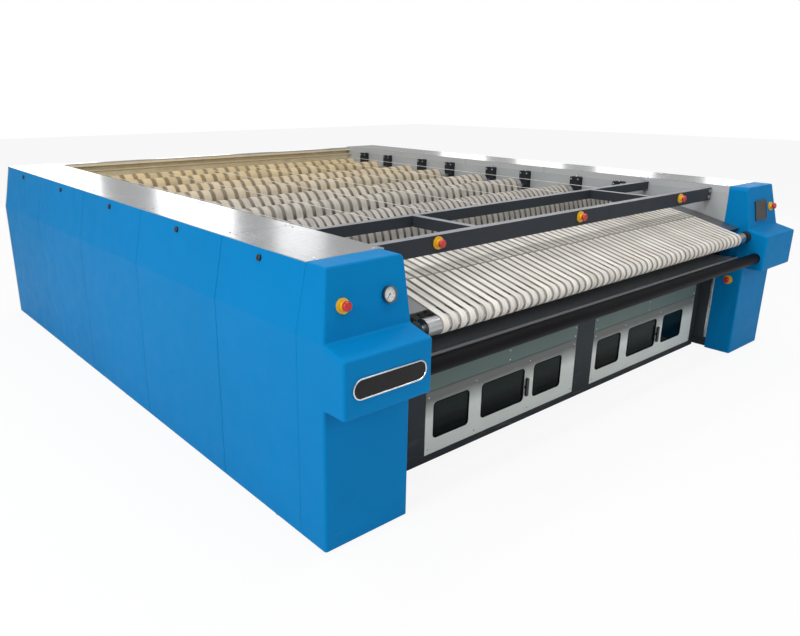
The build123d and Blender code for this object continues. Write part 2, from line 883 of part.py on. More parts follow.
def steam_manifold():
    """Header pipe with a rotary joint at each roll and its inlet flange at the rear."""
    x = header_x
    z = header_height
    y0 = roll_stations[0] - 2 * union_radius
    y1 = housing_depth
    joint = -journal_end - running_gap
    outer = rod_y(x, y0, y1, z, header_radius)
    inner = rod_y(x, y0 + 2 * sheet, y1 + 1, z, header_bore)
    outer += rod_y(x, y1 - flange_thickness, y1, z, flange_radius)
    for station in roll_stations:
        outer += rod_x(joint - union_length, joint, station, roll_height, union_radius)
        outer += rod_z(x, station, roll_height, z, branch_radius)
        inner += rod_x(x, joint + 1, station, roll_height, branch_bore)
        inner += rod_z(x, station, roll_height, z, branch_bore)
    hangers = Part()
    for station in roll_stations[:-1]:
        y = station + roll_pitch / 2
        half = hanger / 2
        hangers += block(x + header_bore, -inner_x - side_plate, y - half, y + half, z - half, z + half)
    holes = Part()
    for corner in range(4):
        angle = math.radians(45 + 90 * corner)
        hx = x + flange_pitch_radius * math.cos(angle)
        hz = z + flange_pitch_radius * math.sin(angle)
        holes += rod_y(hx, y1 - flange_thickness - 1, y1 + 1, hz, flange_hole_radius)
    return outer + hangers - inner - holes


# ---- Strings, combs and the rear
def guide_strings():
    """White strings over the deck, and the bar that holds them at the rear."""
    y0 = gantry_rear + gantry_rear_depth + bearing_clearance
    y1 = string_bar_station - string_bar_radius - bearing_clearance
    lift = guide_radius + running_gap + belt_thickness + string_rise
    pieces = []
    start = -string_pitch * (string_count - 1) / 2
    z0 = guide_z(y0) + lift
    z1 = guide_z(y1) + lift
    for k in range(string_count):
        x = start + k * string_pitch
        run = Vector(0, y1 - y0, z1 - z0)
        plane = Plane(origin=(x, row(y0), z0), z_dir=run)
        pieces.append(extrude(plane * Circle(string_radius), run.length))
    z = guide_z(string_bar_station) + lift
    pieces.append(rod_x(-inner_x, inner_x, string_bar_station, z, string_bar_radius))
    return group(pieces)


def transfer_combs():
    """Cross bars with white fingers between neighbouring modules."""
    pieces = []
    half = comb_bar / 2
    for station in roll_stations[:-1]:
        y = station + roll_pitch / 2
        pieces.append(block(-inner_x, inner_x, y - half, y + half, comb_bar_top - comb_bar, comb_bar_top))
        start = -comb_pitch * (comb_count - 1) / 2
        half_x = comb_finger_width / 2
        half_y = comb_finger_length / 2
        z1 = comb_bar_top + comb_finger_height
        finger = block(-half_x, half_x, y - half_y, y + half_y, comb_bar_top, z1)
        top = finger.faces().sort_by(Axis.Z)[-1]
        finger = chamfer(top.edges(), comb_finger_height / 3)
        pieces += [Pos(start + k * comb_pitch, 0, 0) * finger for k in range(comb_count)]
    return group(pieces)


def rear_wall():
    """Blue rear wall of the right housing, with a narrow return round its side."""
    y0 = rear_return() + seam / 2
    outer = block(inner_x, half_width, y0, housing_depth, panel_bottom, headroom)
    outer = outer - outside_band(0) - over_top(sheet)
    back = housing_depth - sheet
    inner = block(inner_x - 1, half_width - sheet, y0 - 1, back, panel_bottom - 1, headroom)
    return outer - (inner - outside_band(sheet))


def rear_cover():
    """Rear walls of both housings, and the covers over and under the outlet between them."""
    back = housing_depth
    skin = housing_depth - sheet
    top = top_rear - rear_drop
    right = rear_wall()
    left = left_of(right) - rod_y(header_x, skin - 1, back + 1, header_height, flange_radius + 1)
    hood = block(-inner_x, inner_x, skin, back, outlet_top, top)
    hood += block(-inner_x, inner_x, back - rear_lip, back, top - sheet, top)
    hood += block(-inner_x, inner_x, back - rear_lip, back - rear_lip + sheet, top - rear_lip / 2, top)
    apron = block(-inner_x, inner_x, skin, back, rail_top, outlet_bottom)
    chute = [(chute_front, outlet_bottom + chute_rise), (back, outlet_bottom), (back, outlet_bottom - sheet)]
    chute += [(chute_front, outlet_bottom + chute_rise - sheet)]
    apron += along_x(chute, -inner_x, inner_x)
    return group([left, right, hood, apron])


# ---- Controls
def cap_front_plane(x, z):
    """Plane on the caps' leaning front, facing the operator."""
    y = front_lean * (z - crease)
    return Plane(origin=(x, row(y), z), x_dir=(1, 0, 0), z_dir=(0, -1, front_lean))


def estop_planes():
    """Where each emergency stop stands, and which way it faces."""
    places = {}
    for name, x in (("left", -gantry_estop_x), ("centre", 0), ("right", gantry_estop_x)):
        origin = (x, row(gantry_front), gantry_estop_height)
        places["gantry_" + name] = Plane(origin=origin, x_dir=(1, 0, 0), z_dir=(0, -1, 0))
    places["left_cap"] = cap_front_plane(-cap_estop_x, cap_estop_height)
    places["right_cap"] = cap_front_plane(cap_estop_x, cap_estop_height)
    origin = (inner_x, row(column_estop_station), column_estop_height)
    places["right_column"] = Plane(origin=origin, x_dir=(0, 1, 0), z_dir=(-1, 0, 0))
    return places


def estop_base():
    """Yellow collar and neck, bored for the stem."""
    collar = Pos(0, 0, estop_collar / 2) * Cylinder(estop_collar_radius, estop_collar)
    neck = Pos(0, 0, estop_collar + estop_neck / 2) * Cylinder(estop_neck_radius, estop_neck)
    return collar + neck - Cylinder(estop_stem_radius + bearing_clearance, 4 * (estop_collar + estop_neck))


def estop_button():
    """Red mushroom head with its stem."""
    under = estop_collar + estop_neck + estop_rest_gap
    head = Pos(0, 0, under + estop_cap / 2) * Cylinder(estop_cap_radius, estop_cap)
    head = fillet(head.edges().group_by(Axis.Z)[-1], estop_cap / 2)
    foot = estop_travel + 1
    stem = Pos(0, 0, (under + foot) / 2) * Cylinder(estop_stem_radius, under - foot)
    return head + stem


def pressure_gauge():
    """Gauge case and its dial."""
    case = Pos(0, 0, gauge_depth / 2) * Cylinder(gauge_radius, gauge_depth)
    floor = gauge_depth - gauge_recess
    recess = Pos(0, 0, floor + gauge_depth / 2) * Cylinder(gauge_radius - gauge_rim, gauge_depth)
    dial_radius = gauge_radius - gauge_rim - needle_gap
    dial = Pos(0, 0, floor + dial_thickness / 2) * Cylinder(dial_radius, dial_thickness)
    plane = cap_front_plane(gauge_x, gauge_height)
    return group([plane * (case - recess), plane * dial])


def gauge_needle():
    """Needle at its zero, with its hub and a short tail."""
    low = gauge_depth - gauge_recess + dial_thickness + needle_gap
    tail = needle_length / 3
    blade = Box(needle_length + tail, needle_width, needle_thickness)
    blade = Pos((needle_length - tail) / 2, 0, low + needle_thickness / 2) * blade
    hub = Pos(0, 0, low + needle_thickness) * Cylinder(needle_hub_radius, 2 * needle_thickness)
    return cap_front_plane(gauge_x, gauge_height) * Rot(0, 0, needle_zero) * (blade + hub)


def touch_screen():
    """Control unit: a bezel with a recess and the display in it."""
    width, height = screen_size
    w = width - 2 * screen_border
    h = height - 2 * screen_border
    bezel = extrude(RectangleRounded(width, height, screen_corner), screen_depth)
    recess = Pos(0, 0, screen_depth - screen_recess / 2) * Box(w, h, screen_recess)
    display = Pos(0, 0, screen_depth - screen_recess * 0.75) * Box(w, h, screen_recess / 2)
    plane = cap_front_plane(screen_x, screen_height)
    return group([plane * (bezel - recess), plane * display])


# ---- Build every node
def build_housings():
    cap = front_cap()
    save("right_front_cap", cap)
    save("left_front_cap", left_of(cap))
    panels = [side_panel(y0, y1) for y0, y1 in bays()]
    covers = [top_cover(y0, y1) for y0, y1 in bays()[:-1]]
    last_front = bays()[-1][0]
    covers.append(top_cover(last_front, housing_depth))
    save("right_side_panels", group(panels))
    save("left_side_panels", group([left_of(p) for p in panels]))
    save("right_top_covers", group(covers))
    save("left_top_covers", group([left_of(c) for c in covers]))
    locks = [panel_lock((y0 + y1) / 2) for y0, y1 in bays()]
    save("panel_locks", group(locks + [left_of(lock) for lock in locks]))
    save("rear_cover", rear_cover())


def build_frames():
    save("base_frame", base_frame())
    save("levelling_feet", levelling_feet())
    frame = side_frame()
    save("right_side_frame", frame)
    save("left_side_frame", left_of(frame))
    save("front_frame", front_frame())
    save("gantry_frame", gantry_frame())


def build_doors():
    save("door_fascias", door_fascias())
    sides = [("left", left_door, left_stiles, left_window_shares)]
    sides.append(("right", right_door, right_stiles, right_window_shares))
    for name, span, stiles, shares in sides:
        windows = windows_in(span, stiles, shares)
        latch_x = windows[1][1] + latch_from_window
        save(name + "_window_door", window_door(span, windows, latch_x))
        save(name + "_door_panes", door_panes(windows))
        save(name + "_door_latch", door_latch(latch_x))


def build_feed():
    save("feed_bed", feed_bed())
    save("feed_tray", feed_tray())
    save("guard_bar", guard_bar())
    one = belt(feed_wheels(), feed_belt_width, belt_thickness, running_gap)
    save("feed_belts", belt_row(one, feed_belt_count, feed_belt_pitch))
    places = [("front", feed_front_station, feed_front_height), ("rear", feed_rear_station, feed_rear_height)]
    for name, y, z in places:
        pins = inner_x - sheet
        length = feed_roller_half_length
        radius = feed_roller_radius
        save("feed_roller_" + name, roller(y, z, radius, guide_wall, length, feed_journal_radius, pins))


def build_modules():
    for k, station in enumerate(roll_stations):
        number = str(k + 1)
        save("heated_roll_" + number, heated_roll(station))
        one = belt(deck_wheels(station), deck_belt_widths[k], belt_thickness, running_gap)
        count = deck_belt_counts[k]
        save("guide_belts_" + number, belt_row(one, count, deck_belt_span / (count - 1)))
        for name, shift in guide_places:
            y = station + shift
            pins = inner_x - sheet
            turning = roller(y, guide_z(y), guide_radius, guide_wall, guide_half_length, guide_journal_radius, pins)
            save(name + "_guide_roller_" + number, turning)
    save("belt_tension_bars", tension_bars())
    save("transfer_combs", transfer_combs())
    save("guide_strings", guide_strings())
    save("bearing_blocks", bearing_blocks())
    save("gear_motor", gear_motor())
    save("drive_chain", drive_chain())
    save("steam_manifold", steam_manifold())


def build_controls():
    places = estop_planes()
    save("estop_bases", group([plane * estop_base() for plane in places.values()]))
    for name, plane in places.items():
        save("estop_" + name, plane * estop_button())
    save("pressure_gauge", pressure_gauge())
    save("gauge_needle", gauge_needle())
    save("touch_screen", touch_screen())


build_frames()
build_housings()
build_doors()
build_feed()
build_modules()
build_controls()
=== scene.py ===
# %% [markdown]
# # A flatwork ironer, dressed in Blender
#
# The real machine irons wet sheets. Linen is laid on a table of running belts, drops between two
# beams onto four steam-heated rolls, and leaves flat and dry at the back. Two long housings, one
# at each end of the rolls, hide the drive and the steam pipes.
#
# The solid model was made in CAD, in metres, with the floor at z = 0, the feed table towards -Y
# and the operator's right hand towards +X. It is loaded here as a fixed frame. This lesson gives
# each of its parts a finish and adds the small pieces that CAD leaves out.

# %% Load the frame
import math

import bmesh
import bpy
from mathutils import Matrix, Vector


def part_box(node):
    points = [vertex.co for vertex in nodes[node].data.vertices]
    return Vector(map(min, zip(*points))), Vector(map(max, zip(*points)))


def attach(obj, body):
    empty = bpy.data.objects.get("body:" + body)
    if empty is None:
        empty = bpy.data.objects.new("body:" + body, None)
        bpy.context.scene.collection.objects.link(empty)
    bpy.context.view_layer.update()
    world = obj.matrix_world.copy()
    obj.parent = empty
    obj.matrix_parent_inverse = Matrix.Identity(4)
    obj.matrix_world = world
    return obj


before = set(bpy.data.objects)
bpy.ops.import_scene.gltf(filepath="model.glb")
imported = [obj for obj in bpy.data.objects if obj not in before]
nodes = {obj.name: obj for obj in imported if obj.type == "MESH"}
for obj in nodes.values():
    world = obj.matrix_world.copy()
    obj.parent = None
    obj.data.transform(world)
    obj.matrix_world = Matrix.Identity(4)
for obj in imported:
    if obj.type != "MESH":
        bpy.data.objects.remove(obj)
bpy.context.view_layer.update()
bpy.ops.object.select_all(action="DESELECT")

# %% [markdown]
# ## Where the photographer stood
#
# The view is from the front left, at eye height, and looks down a little. The numbers come from
# solving the perspective of the housings' long edges: the camera is 3.6 m left of the middle and
# turned 39 degrees to the right. The lens is shifted slightly, as the picture was cropped.

# %% Camera
bpy.ops.object.camera_add(
    location=(-3.6321, -4.2341, 1.8586),
    rotation=(math.radians(72.40), math.radians(0.05), math.radians(-39.25)),
)
camera = bpy.context.object
camera.data.lens = 31.5
camera.data.sensor_width = 36.0
camera.data.shift_x = 0.0598
camera.data.shift_y = -0.002
bpy.context.scene.camera = camera
bpy.context.scene.view_settings.view_transform = "Standard"
print("camera looks from", tuple(round(c, 2) for c in camera.location))

# %% [markdown]
# ## One class for all shader maths
#
# A shader is a net of sockets. Wrapping a socket in a small class lets a sum be written as a sum:
# `1 - mask` adds a Math node by itself. Every other node comes from `make`, which sets the node's
# own settings first, because they can change its sockets, and its sockets after that.

# %% Signal
class Signal:
    """A socket in a shader, which can be used in sums as a number can."""

    def __init__(self, tree, socket=None):
        self.tree = tree
        self.socket = socket

    def make(self, kind, settings=None, values=None, output=0):
        """Adds a node, sets it up, fills its sockets and returns one of its outputs."""
        node = self.tree.nodes.new("ShaderNode" + kind)
        for name, setting in (settings or {}).items():
            if name == "stops":
                stops = node.color_ramp.elements
                while len(stops) < len(setting):
                    stops.new(1.0)
                for stop, (position, colour) in zip(stops, setting):
                    stop.position = position
                    stop.color = colour
            else:
                setattr(node, name, setting)
        for name, value in (values or {}).items():
            if isinstance(value, Signal):
                self.tree.links.new(value.socket, node.inputs[name])
            else:
                node.inputs[name].default_value = value
        return Signal(self.tree, node.outputs[output] if len(node.outputs) else None)

    def maths(self, operation, *values):
        """One Math node on the values, of which any may be a Signal."""
        return self.make("Math", {"operation": operation}, dict(enumerate(values)))

    def __add__(self, other):
        return self.maths("ADD", self, other)

    def __sub__(self, other):
        return self.maths("SUBTRACT", self, other)

    def __mul__(self, other):
        return self.maths("MULTIPLY", self, other)

    def __truediv__(self, other):
        return self.maths("DIVIDE", self, other)

    def __rsub__(self, other):
        return self.maths("SUBTRACT", other, self)

    def __lt__(self, other):
        return self.maths("LESS_THAN", self, other)

    def __gt__(self, other):
        return self.maths("GREATER_THAN", self, other)

    __radd__ = __add__
    __rmul__ = __mul__


# %% [markdown]
# ## Four small words for finishes
#
# Most finishes are made of the same few things: a cloud of noise, a range stretched onto another,
# a mix of two colours and a height that the light catches. Noise takes a stretch, because brush
# marks and belt stains run one way.

# %% Words for finishes
def noise(places, scale, detail=2.0, stretch=(1.0, 1.0, 1.0)):
    """Clouds between 0 and 1; scale is in clouds per metre."""
    where = places.make("Mapping", {}, {"Vector": places, "Scale": stretch})
    return where.make("TexNoise", {}, {"Vector": where, "Scale": scale, "Detail": detail})


def spread(signal, low, high, first, last):
    """Stretches low..high onto first..last and stays inside."""
    values = {"Value": signal, "From Min": low, "From Max": high, "To Min": first, "To Max": last}
    return signal.make("MapRange", {"clamp": True}, values)


def tint(factor, first, second):
    """Mixes two colours, each a Signal or four numbers."""
    return factor.make("Mix", {"data_type": "RGBA"}, {0: factor, 6: first, 7: second}, 2)


def relief(height, distance, under=None):
    """Turns a height into a bump of so many metres, on top of another if there is one."""
    values = {"Height": height, "Distance": distance, "Strength": 1.0}
    if under is not None:
        values["Normal"] = under
    return height.make("Bump", {}, values)


def colour(red, green, blue):
    """A colour as four numbers."""
    return (red, green, blue, 1.0)


def material(name, recipe):
    """Makes a material whose shader sockets come from recipe(places)."""
    made = bpy.data.materials.new(name)
    made.use_nodes = True
    made.node_tree.nodes.clear()
    places = Signal(made.node_tree).make("TexCoord", {}, {}, "Object")
    surface = places.make("BsdfPrincipled", {}, recipe(places))
    places.make("OutputMaterial", {}, {"Surface": surface})
    return made


# %% [markdown]
# ## Powder coat
#
# The housings are folded from sheet and powder coated in a clear blue. Powder coat flows out into
# a fine orange peel of 2 or 3 mm, and a large thin sheet is never quite flat. Both are heights:
# one very fine and one very broad. Near the floor, shoes and mops leave paler rubs. The gantry is
# charcoal, and the level tops of its beams are painted paler in mottled patches, a painted
# reflection of the pale room. The doors are painted nearly white at the bottom and grow grey
# towards the top, a painted shade under the overhang.

# %% Painted sheet
def painted(name, shade, rough=0.42, peel=0.00004, waves=0.0006, wear=0.25, shine=0.12, top_shade=None, top_sheen=None):
    """Paint on sheet metal with orange peel, broad waves, tone clouds and floor wear. The shade
    setting is two heights and how much of its colour the paint keeps at the upper one, a painted
    shade that darkens the paint towards the top. The sheen setting is a height and how much pale
    painted reflection, mottled in patches, lies on the faces from there up."""

    def recipe(places):
        height = places.make("SeparateXYZ", {}, {"Vector": places}, "Z")
        tone = spread(noise(places, 1.4, 3.0), 0.3, 0.7, 0.0, 1.0)
        body = tint(tone, tuple(c * 0.93 for c in shade[:3]) + (1.0,), shade)
        # Painted shade: the paint darkens towards the upper height, as under an overhang.
        if top_shade is not None:
            shade_mask = spread(height + noise(places, 18.0, 3.0) * 0.02, top_shade[0], top_shade[1], 0.0, 1.0)
            shaded_colour = tuple(c * top_shade[2] for c in shade[:3]) + (1.0,)
            body = tint(shade_mask, body, shaded_colour)
        # Painted reflection: faces above the height are painted paler in mottled patches, standing in for the
        # pale room seen in the level tops.
        if top_sheen is not None:
            dust_and_sheen = spread(height, top_sheen[0] - 0.0005, top_sheen[0], 0.0, top_sheen[1])
            sheen_mottle = spread(noise(places, 14.0, 4.0), 0.25, 0.65, 0.75, 1.0)
            body = tint(dust_and_sheen * sheen_mottle, body, colour(0.46, 0.47, 0.50))
        rubs = spread(noise(places, 26.0, 5.0, (0.35, 0.35, 2.4)), 0.56, 0.72, 0.0, 1.0)
        low = spread(height, 0.02, 0.32, 1.0, 0.0)
        worn = rubs * low * wear
        pale = tuple(c * 0.6 + 0.12 for c in shade[:3]) + (1.0,)
        dust = spread(noise(places, 340.0, 2.0), 0.45, 0.75, 0.0, 0.10)
        fine = relief(noise(places, 520.0, 1.0), peel)
        broad = relief(noise(places, 1.7, 1.0, (1.0, 0.7, 1.0)), waves * 10.0, fine)
        return {
            "Base Color": tint(worn, body, pale),
            "Roughness": spread(noise(places, 9.0, 3.0), 0.3, 0.7, rough - 0.04, rough + 0.06)
            + worn * 0.3
            + dust,
            "Specular IOR Level": shine,
            "Normal": broad,
        }

    return material(name, recipe)


blue_paint = painted("blue_paint", colour(0.0003, 0.200, 0.49), wear=0.10, shine=0.05)
# The charcoal's level tops above the height get a pale painted reflection.
charcoal_paint = painted(
    "charcoal_paint", colour(0.034, 0.040, 0.048), 0.40, waves=0.0, wear=0.4, top_sheen=(1.2095, 0.55)
)
tray_paint = painted("tray_paint", colour(0.19, 0.20, 0.215), 0.34, waves=0.0, wear=0.4)
# The fascia is painted much darker than the doors below it, as painted shade under the overhang.
shaded_fascia_paint = painted("shaded_fascia_paint", colour(0.135, 0.190, 0.178), 0.36, waves=0.0002)
# The door paint is darkened towards the top: painted shade under the overhang.
door_paint = painted("door_paint", colour(0.74, 0.79, 0.76), 0.36, waves=0.0002, top_shade=(0.26, 0.37, 0.23))
cast_paint = painted("cast_paint", colour(0.022, 0.026, 0.030), 0.5, 0.00022, waves=0.0)
drive_paint = painted("drive_paint", colour(0.075, 0.095, 0.12), 0.44, 0.00018, waves=0.0)
print("paints:", blue_paint.name, charcoal_paint.name, door_paint.name)

# %% [markdown]
# ## A wall in two tones
#
# The walls between the housings are pale above the feed table, where linen may touch them, and
# charcoal below, where only the doors show them. The line between the two is a plain height.

# %% Two-tone wall
def two_tones(places):
    """Pale paint above a height and charcoal below it."""
    height = places.make("SeparateXYZ", {}, {"Vector": places}, "Z")
    above = height > 0.86
    cloud = spread(noise(places, 2.0, 3.0), 0.3, 0.7, 0.0, 1.0)
    pale = tint(cloud, colour(0.37, 0.39, 0.40), colour(0.44, 0.455, 0.46))
    dark = tint(cloud, colour(0.034, 0.040, 0.048), colour(0.042, 0.048, 0.057))
    return {
        "Base Color": tint(above, dark, pale),
        "Roughness": spread(noise(places, 30.0, 3.0), 0.3, 0.7, 0.36, 0.50),
        "Specular IOR Level": 0.3,
        "Normal": relief(noise(places, 520.0, 1.0), 0.00006),
    }


wall_paint = material("wall_paint", two_tones)
print("wall paint:", wall_paint.name)

# %% [markdown]
# ## Bare metal
#
# The top covers are stainless sheet, brushed along the machine, which draws each reflection out
# sideways. Their level face rises 47 mm from front to back, so one line in Y tells it from the
# lips folded down beside it, which steam has greyed. Rollers and bars are turned on a lathe, so
# their fine lines run round them: lines that depend only on X. A steam-heated roll is ground and
# polished, and the cloth rubs it to a soft sheen with a few broad bands.

# %% Brushed and turned metal
def brushed(name, shade, rough, along, scratch=0.000012, smudge=0.10, fleck=0.0, dull_lips=False):
    """Metal with fine lines. along holds how stretched the lines are on each axis. dull_lips is
    for the covers, whose upright lips are greyed by steam while their level face is kept bright."""

    def recipe(places):
        lines = noise(places, 900.0, 2.0, along)
        wide = noise(places, 60.0, 2.0, along)
        smear = noise(places, 5.0, 4.0)
        tone = spread(lines * 0.5 + wide * 0.5, 0.3, 0.7, 0.0, 1.0)
        dull = tuple(c * 0.93 for c in shade[:3]) + (1.0,)
        stain = tuple(c * 0.55 for c in shade[:3]) + (1.0,)
        spots = spread(noise(places, 40.0, 5.0), 0.60, 0.74, 0.0, fleck)
        face = tint(spots, tint(tone, dull, shade), stain)
        metal = 1.0
        greyed = spots * 0.25
        if dull_lips:
            length = places.make("SeparateXYZ", {}, {"Vector": places}, "Y")
            height = places.make("SeparateXYZ", {}, {"Vector": places}, "Z")
            level = (length + 2.211) * (0.047 / 4.550) + 1.228
            lip = spread(level - height, 0.0010, 0.0025, 0.0, 1.0)
            face = tint(lip, face, colour(0.50, 0.51, 0.52))
            metal = 1.0 - lip * 0.75
            greyed = greyed + lip * 0.25
        return {
            "Base Color": face,
            "Metallic": metal,
            "Roughness": spread(lines, 0.3, 0.7, rough - 0.05, rough + 0.05)
            + spread(smear, 0.4, 0.7, 0.0, smudge)
            + greyed,
            "Normal": relief(lines, scratch),
        }

    return material(name, recipe)


top_steel = brushed(
    "top_steel", colour(0.54, 0.55, 0.56), 0.21, (1.0, 0.02, 1.0), smudge=0.03, dull_lips=True
)
turned_steel = brushed("turned_steel", colour(0.50, 0.51, 0.51), 0.30, (1.0, 0.03, 0.03), fleck=0.3)
bed_steel = brushed("bed_steel", colour(0.26, 0.265, 0.27), 0.45, (1.0, 0.02, 1.0), smudge=0.05)
roll_steel = brushed("roll_steel", colour(0.66, 0.67, 0.68), 0.16, (0.5, 0.02, 0.02), 0.000004)
chain_steel = brushed("chain_steel", colour(0.20, 0.18, 0.165), 0.42, (1.0, 1.0, 1.0), fleck=0.7)
hook_steel = brushed("hook_steel", colour(0.44, 0.41, 0.37), 0.42, (1.0, 1.0, 1.0), fleck=0.4)
rim_metal = brushed("rim_metal", colour(0.74, 0.75, 0.76), 0.18, (1.0, 1.0, 1.0), 0.000003)
case_metal = brushed("case_metal", colour(0.20, 0.21, 0.22), 0.24, (1.0, 1.0, 1.0), 0.000003)
pipe_steel = brushed("pipe_steel", colour(0.46, 0.47, 0.48), 0.48, (1.0, 1.0, 1.0), fleck=0.5)
print("metals:", top_steel.name, turned_steel.name, roll_steel.name)

# %% [markdown]
# ## Steel that the heat has tanned
#
# The rear cover stands over the last roll. Hot steam and cotton dust leave a straw-gold film on
# its inner face, which is less of a mirror than the clean steel outside.

# %% Heat-tanned steel
def heat_tanned(places):
    """Straw-gold on the side of the rolls, plain brushed steel outside."""
    along = places.make("SeparateXYZ", {}, {"Vector": places}, "Y")
    height = places.make("SeparateXYZ", {}, {"Vector": places}, "Z")
    inside = along < 2.3375
    lines = noise(places, 900.0, 2.0, (0.02, 1.0, 1.0))
    bloom = spread(noise(places, 9.0, 4.0, (0.8, 1.0, 1.2)), 0.30, 0.72, 0.0, 1.0)
    gold = tint(bloom, colour(0.72, 0.61, 0.40), colour(0.86, 0.77, 0.56))
    plain = tint(lines, colour(0.58, 0.59, 0.60), colour(0.64, 0.65, 0.66))
    warm = inside * spread(height, 0.95, 1.05, 0.0, 1.0) * spread(height, 1.250, 1.262, 1.0, 0.0)
    return {
        "Base Color": tint(warm, plain, gold),
        "Metallic": 1.0 - warm * 0.8,
        "Roughness": spread(lines, 0.3, 0.7, 0.22, 0.30) + warm * 0.2,
        "Normal": relief(lines, 0.00001),
    }


tanned_steel = material("tanned_steel", heat_tanned)
print("tanned steel:", tanned_steel.name)

# %% [markdown]
# ## Belts
#
# The feed belts and the guide belts are woven from cotton and aramid, a few millimetres thick,
# side by side with gaps. A real belt has a fine herringbone, a slightly different tone from its
# neighbour, long faint streaks from damp linen, and greyer edges. The row of belts has a fixed
# pitch, so the belt's number is x divided by the pitch, rounded down, and White Noise turns that
# number into the belt's own tone. Far back on the deck the heat has tanned the cloth golden.

# %% Woven belts
def woven(name, fresh, worn, pitch, left, width, tan=None, start=0.0, end=1.0):
    """Belt cloth. left is the x of one belt's edge; tan is a colour reached between two places in y."""

    def recipe(places):
        across = places.make("SeparateXYZ", {}, {"Vector": places}, "X")
        length = places.make("SeparateXYZ", {}, {"Vector": places}, "Y")
        height = places.make("SeparateXYZ", {}, {"Vector": places}, "Z")
        number = across.maths("FLOOR", (across - left + (pitch - width) / 2) / pitch)
        own = number.make("TexWhiteNoise", {"noise_dimensions": "1D"}, {"W": number})
        place = (across - left) - number * pitch
        middle = place.maths("ABSOLUTE", place - width / 2)
        edge = spread(middle, width * 0.36, width * 0.5, 0.0, 1.0)
        streak = noise(places, 70.0, 3.0, (1.0, 0.06, 0.2))
        blots_and_shade = noise(places, 7.0, 4.0, (1.0, 0.5, 1.0))
        soil = spread(streak * 0.6 + blots_and_shade * 0.4, 0.42, 0.66, 0.0, 0.75)
        base = tint(soil, fresh, worn)
        if tan is not None:
            warm = spread(length + noise(places, 5.0, 3.0) * 0.5, start + 0.25, end + 0.25, 0.0, 1.0)
            base = tint(warm, base, tan)
        shaded = tint(edge * 0.55, base, tuple(c * 0.55 for c in worn[:3]) + (1.0,))
        lighter = own.make("HueSaturation", {}, {"Value": own * 0.20 + 0.88, "Color": shaded})
        rise = across + height
        twill = rise.maths("SINE", rise * 2600.0 + length * 1500.0)
        ribs = length.maths("SINE", (length + height) * 1900.0)
        weave = twill * 0.5 + ribs * 0.5
        fuzz = noise(places, 700.0, 3.0)
        return {
            "Base Color": lighter,
            "Roughness": spread(fuzz, 0.3, 0.7, 0.82, 0.95),
            "Normal": relief(fuzz, 0.00035, relief(weave, 0.00018)),
        }

    return material(name, recipe)


def row_of_belts(node, name, count, width, clean=1.0, tan=None, start=0.0, end=1.0):
    """Belt cloth whose pitch is read from the node's own box. clean darkens it below 1."""
    low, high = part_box(node)
    pitch = (high.x - low.x - width) / (count - 1)
    fresh = colour(0.84 * clean, 0.80 * clean, 0.74 * clean)
    worn = colour(0.58 * clean, 0.53 * clean, 0.46 * clean)
    print(node, "pitch", round(pitch * 1000, 1), "mm")
    return woven(name, fresh, worn, pitch, low.x, width, tan, start, end)


golden = colour(0.60, 0.48, 0.30)
brown = colour(0.58, 0.45, 0.25)
feed_cloth = row_of_belts("feed_belts", "feed_cloth", 52, 0.040)
deck_cloth_1 = row_of_belts("guide_belts_1", "deck_cloth_1", 50, 0.040, 0.58)
deck_cloth_2 = row_of_belts("guide_belts_2", "deck_cloth_2", 35, 0.056, 0.62, golden, -0.5, 1.7)
deck_cloth_3 = row_of_belts("guide_belts_3", "deck_cloth_3", 29, 0.068, 0.66, golden, -0.5, 1.3)
deck_cloth_4 = row_of_belts("guide_belts_4", "deck_cloth_4", 25, 0.080, 0.74, brown, 0.2, 1.7)

# %% [markdown]
# ## Wrapped guide rollers
#
# A bare steel roller would slip under the belts, so each guide roller wears a sleeve of cotton
# felt, and between the belts it is the sleeve that shows: nearly as pale as the belts in front
# and baked to gold at the back, with clouds of a darker felt painted over it as painted shade in
# the gaps. The sleeve stops 50 mm before the tube's end, where steel shows.

# %% Felt sleeves on the guide rollers
def sleeve(places):
    """Cotton felt that ends before the ends of the tube, on turned steel."""
    across = places.make("SeparateXYZ", {}, {"Vector": places}, "X")
    length = places.make("SeparateXYZ", {}, {"Vector": places}, "Y")
    bare = spread(across.maths("ABSOLUTE", across), 1.449, 1.451, 0.0, 1.0)
    baked = spread(length + noise(places, 4.0, 3.0) * 0.5, 0.0, 1.9, 0.0, 1.0)
    # Painted shade: clouds of a darker copy of the felt stand in for the shade between the belts.
    blots_and_shade = spread(noise(places, 16.0, 5.0, (0.4, 1.0, 1.0)), 0.40, 0.66, 0.0, 1.0)
    felt = tint(baked, colour(0.22, 0.20, 0.17), colour(0.28, 0.21, 0.11))
    shaded = tint(baked, colour(0.12, 0.105, 0.085), colour(0.17, 0.12, 0.06))
    fibres = noise(places, 420.0, 4.0)
    return {
        "Base Color": tint(bare, tint(blots_and_shade * 0.6, felt, shaded), colour(0.50, 0.50, 0.50)),
        "Metallic": bare,
        "Roughness": spread(fibres, 0.3, 0.7, 0.84, 0.96) - bare * 0.55,
        "Normal": relief(fibres, 0.0004),
    }


felt_sleeve = material("felt_sleeve", sleeve)
print("sleeves:", felt_sleeve.name)

# %% [markdown]
# ## Plastic, rubber, glass and cord
#
# Moulded plastic has a fine spark-eroded grain and a few dull scuffs from handling. The guard
# bar is a steel tube in a smooth rubber sleeve, with dull scuffs where sheets and aprons rub it.
# The door panes are dark tinted glass with dust on the inside, and their upper part is painted
# lighter as a painted reflection. The strings over the deck are braided cord, so two sets of
# slanting ridges cross on them.

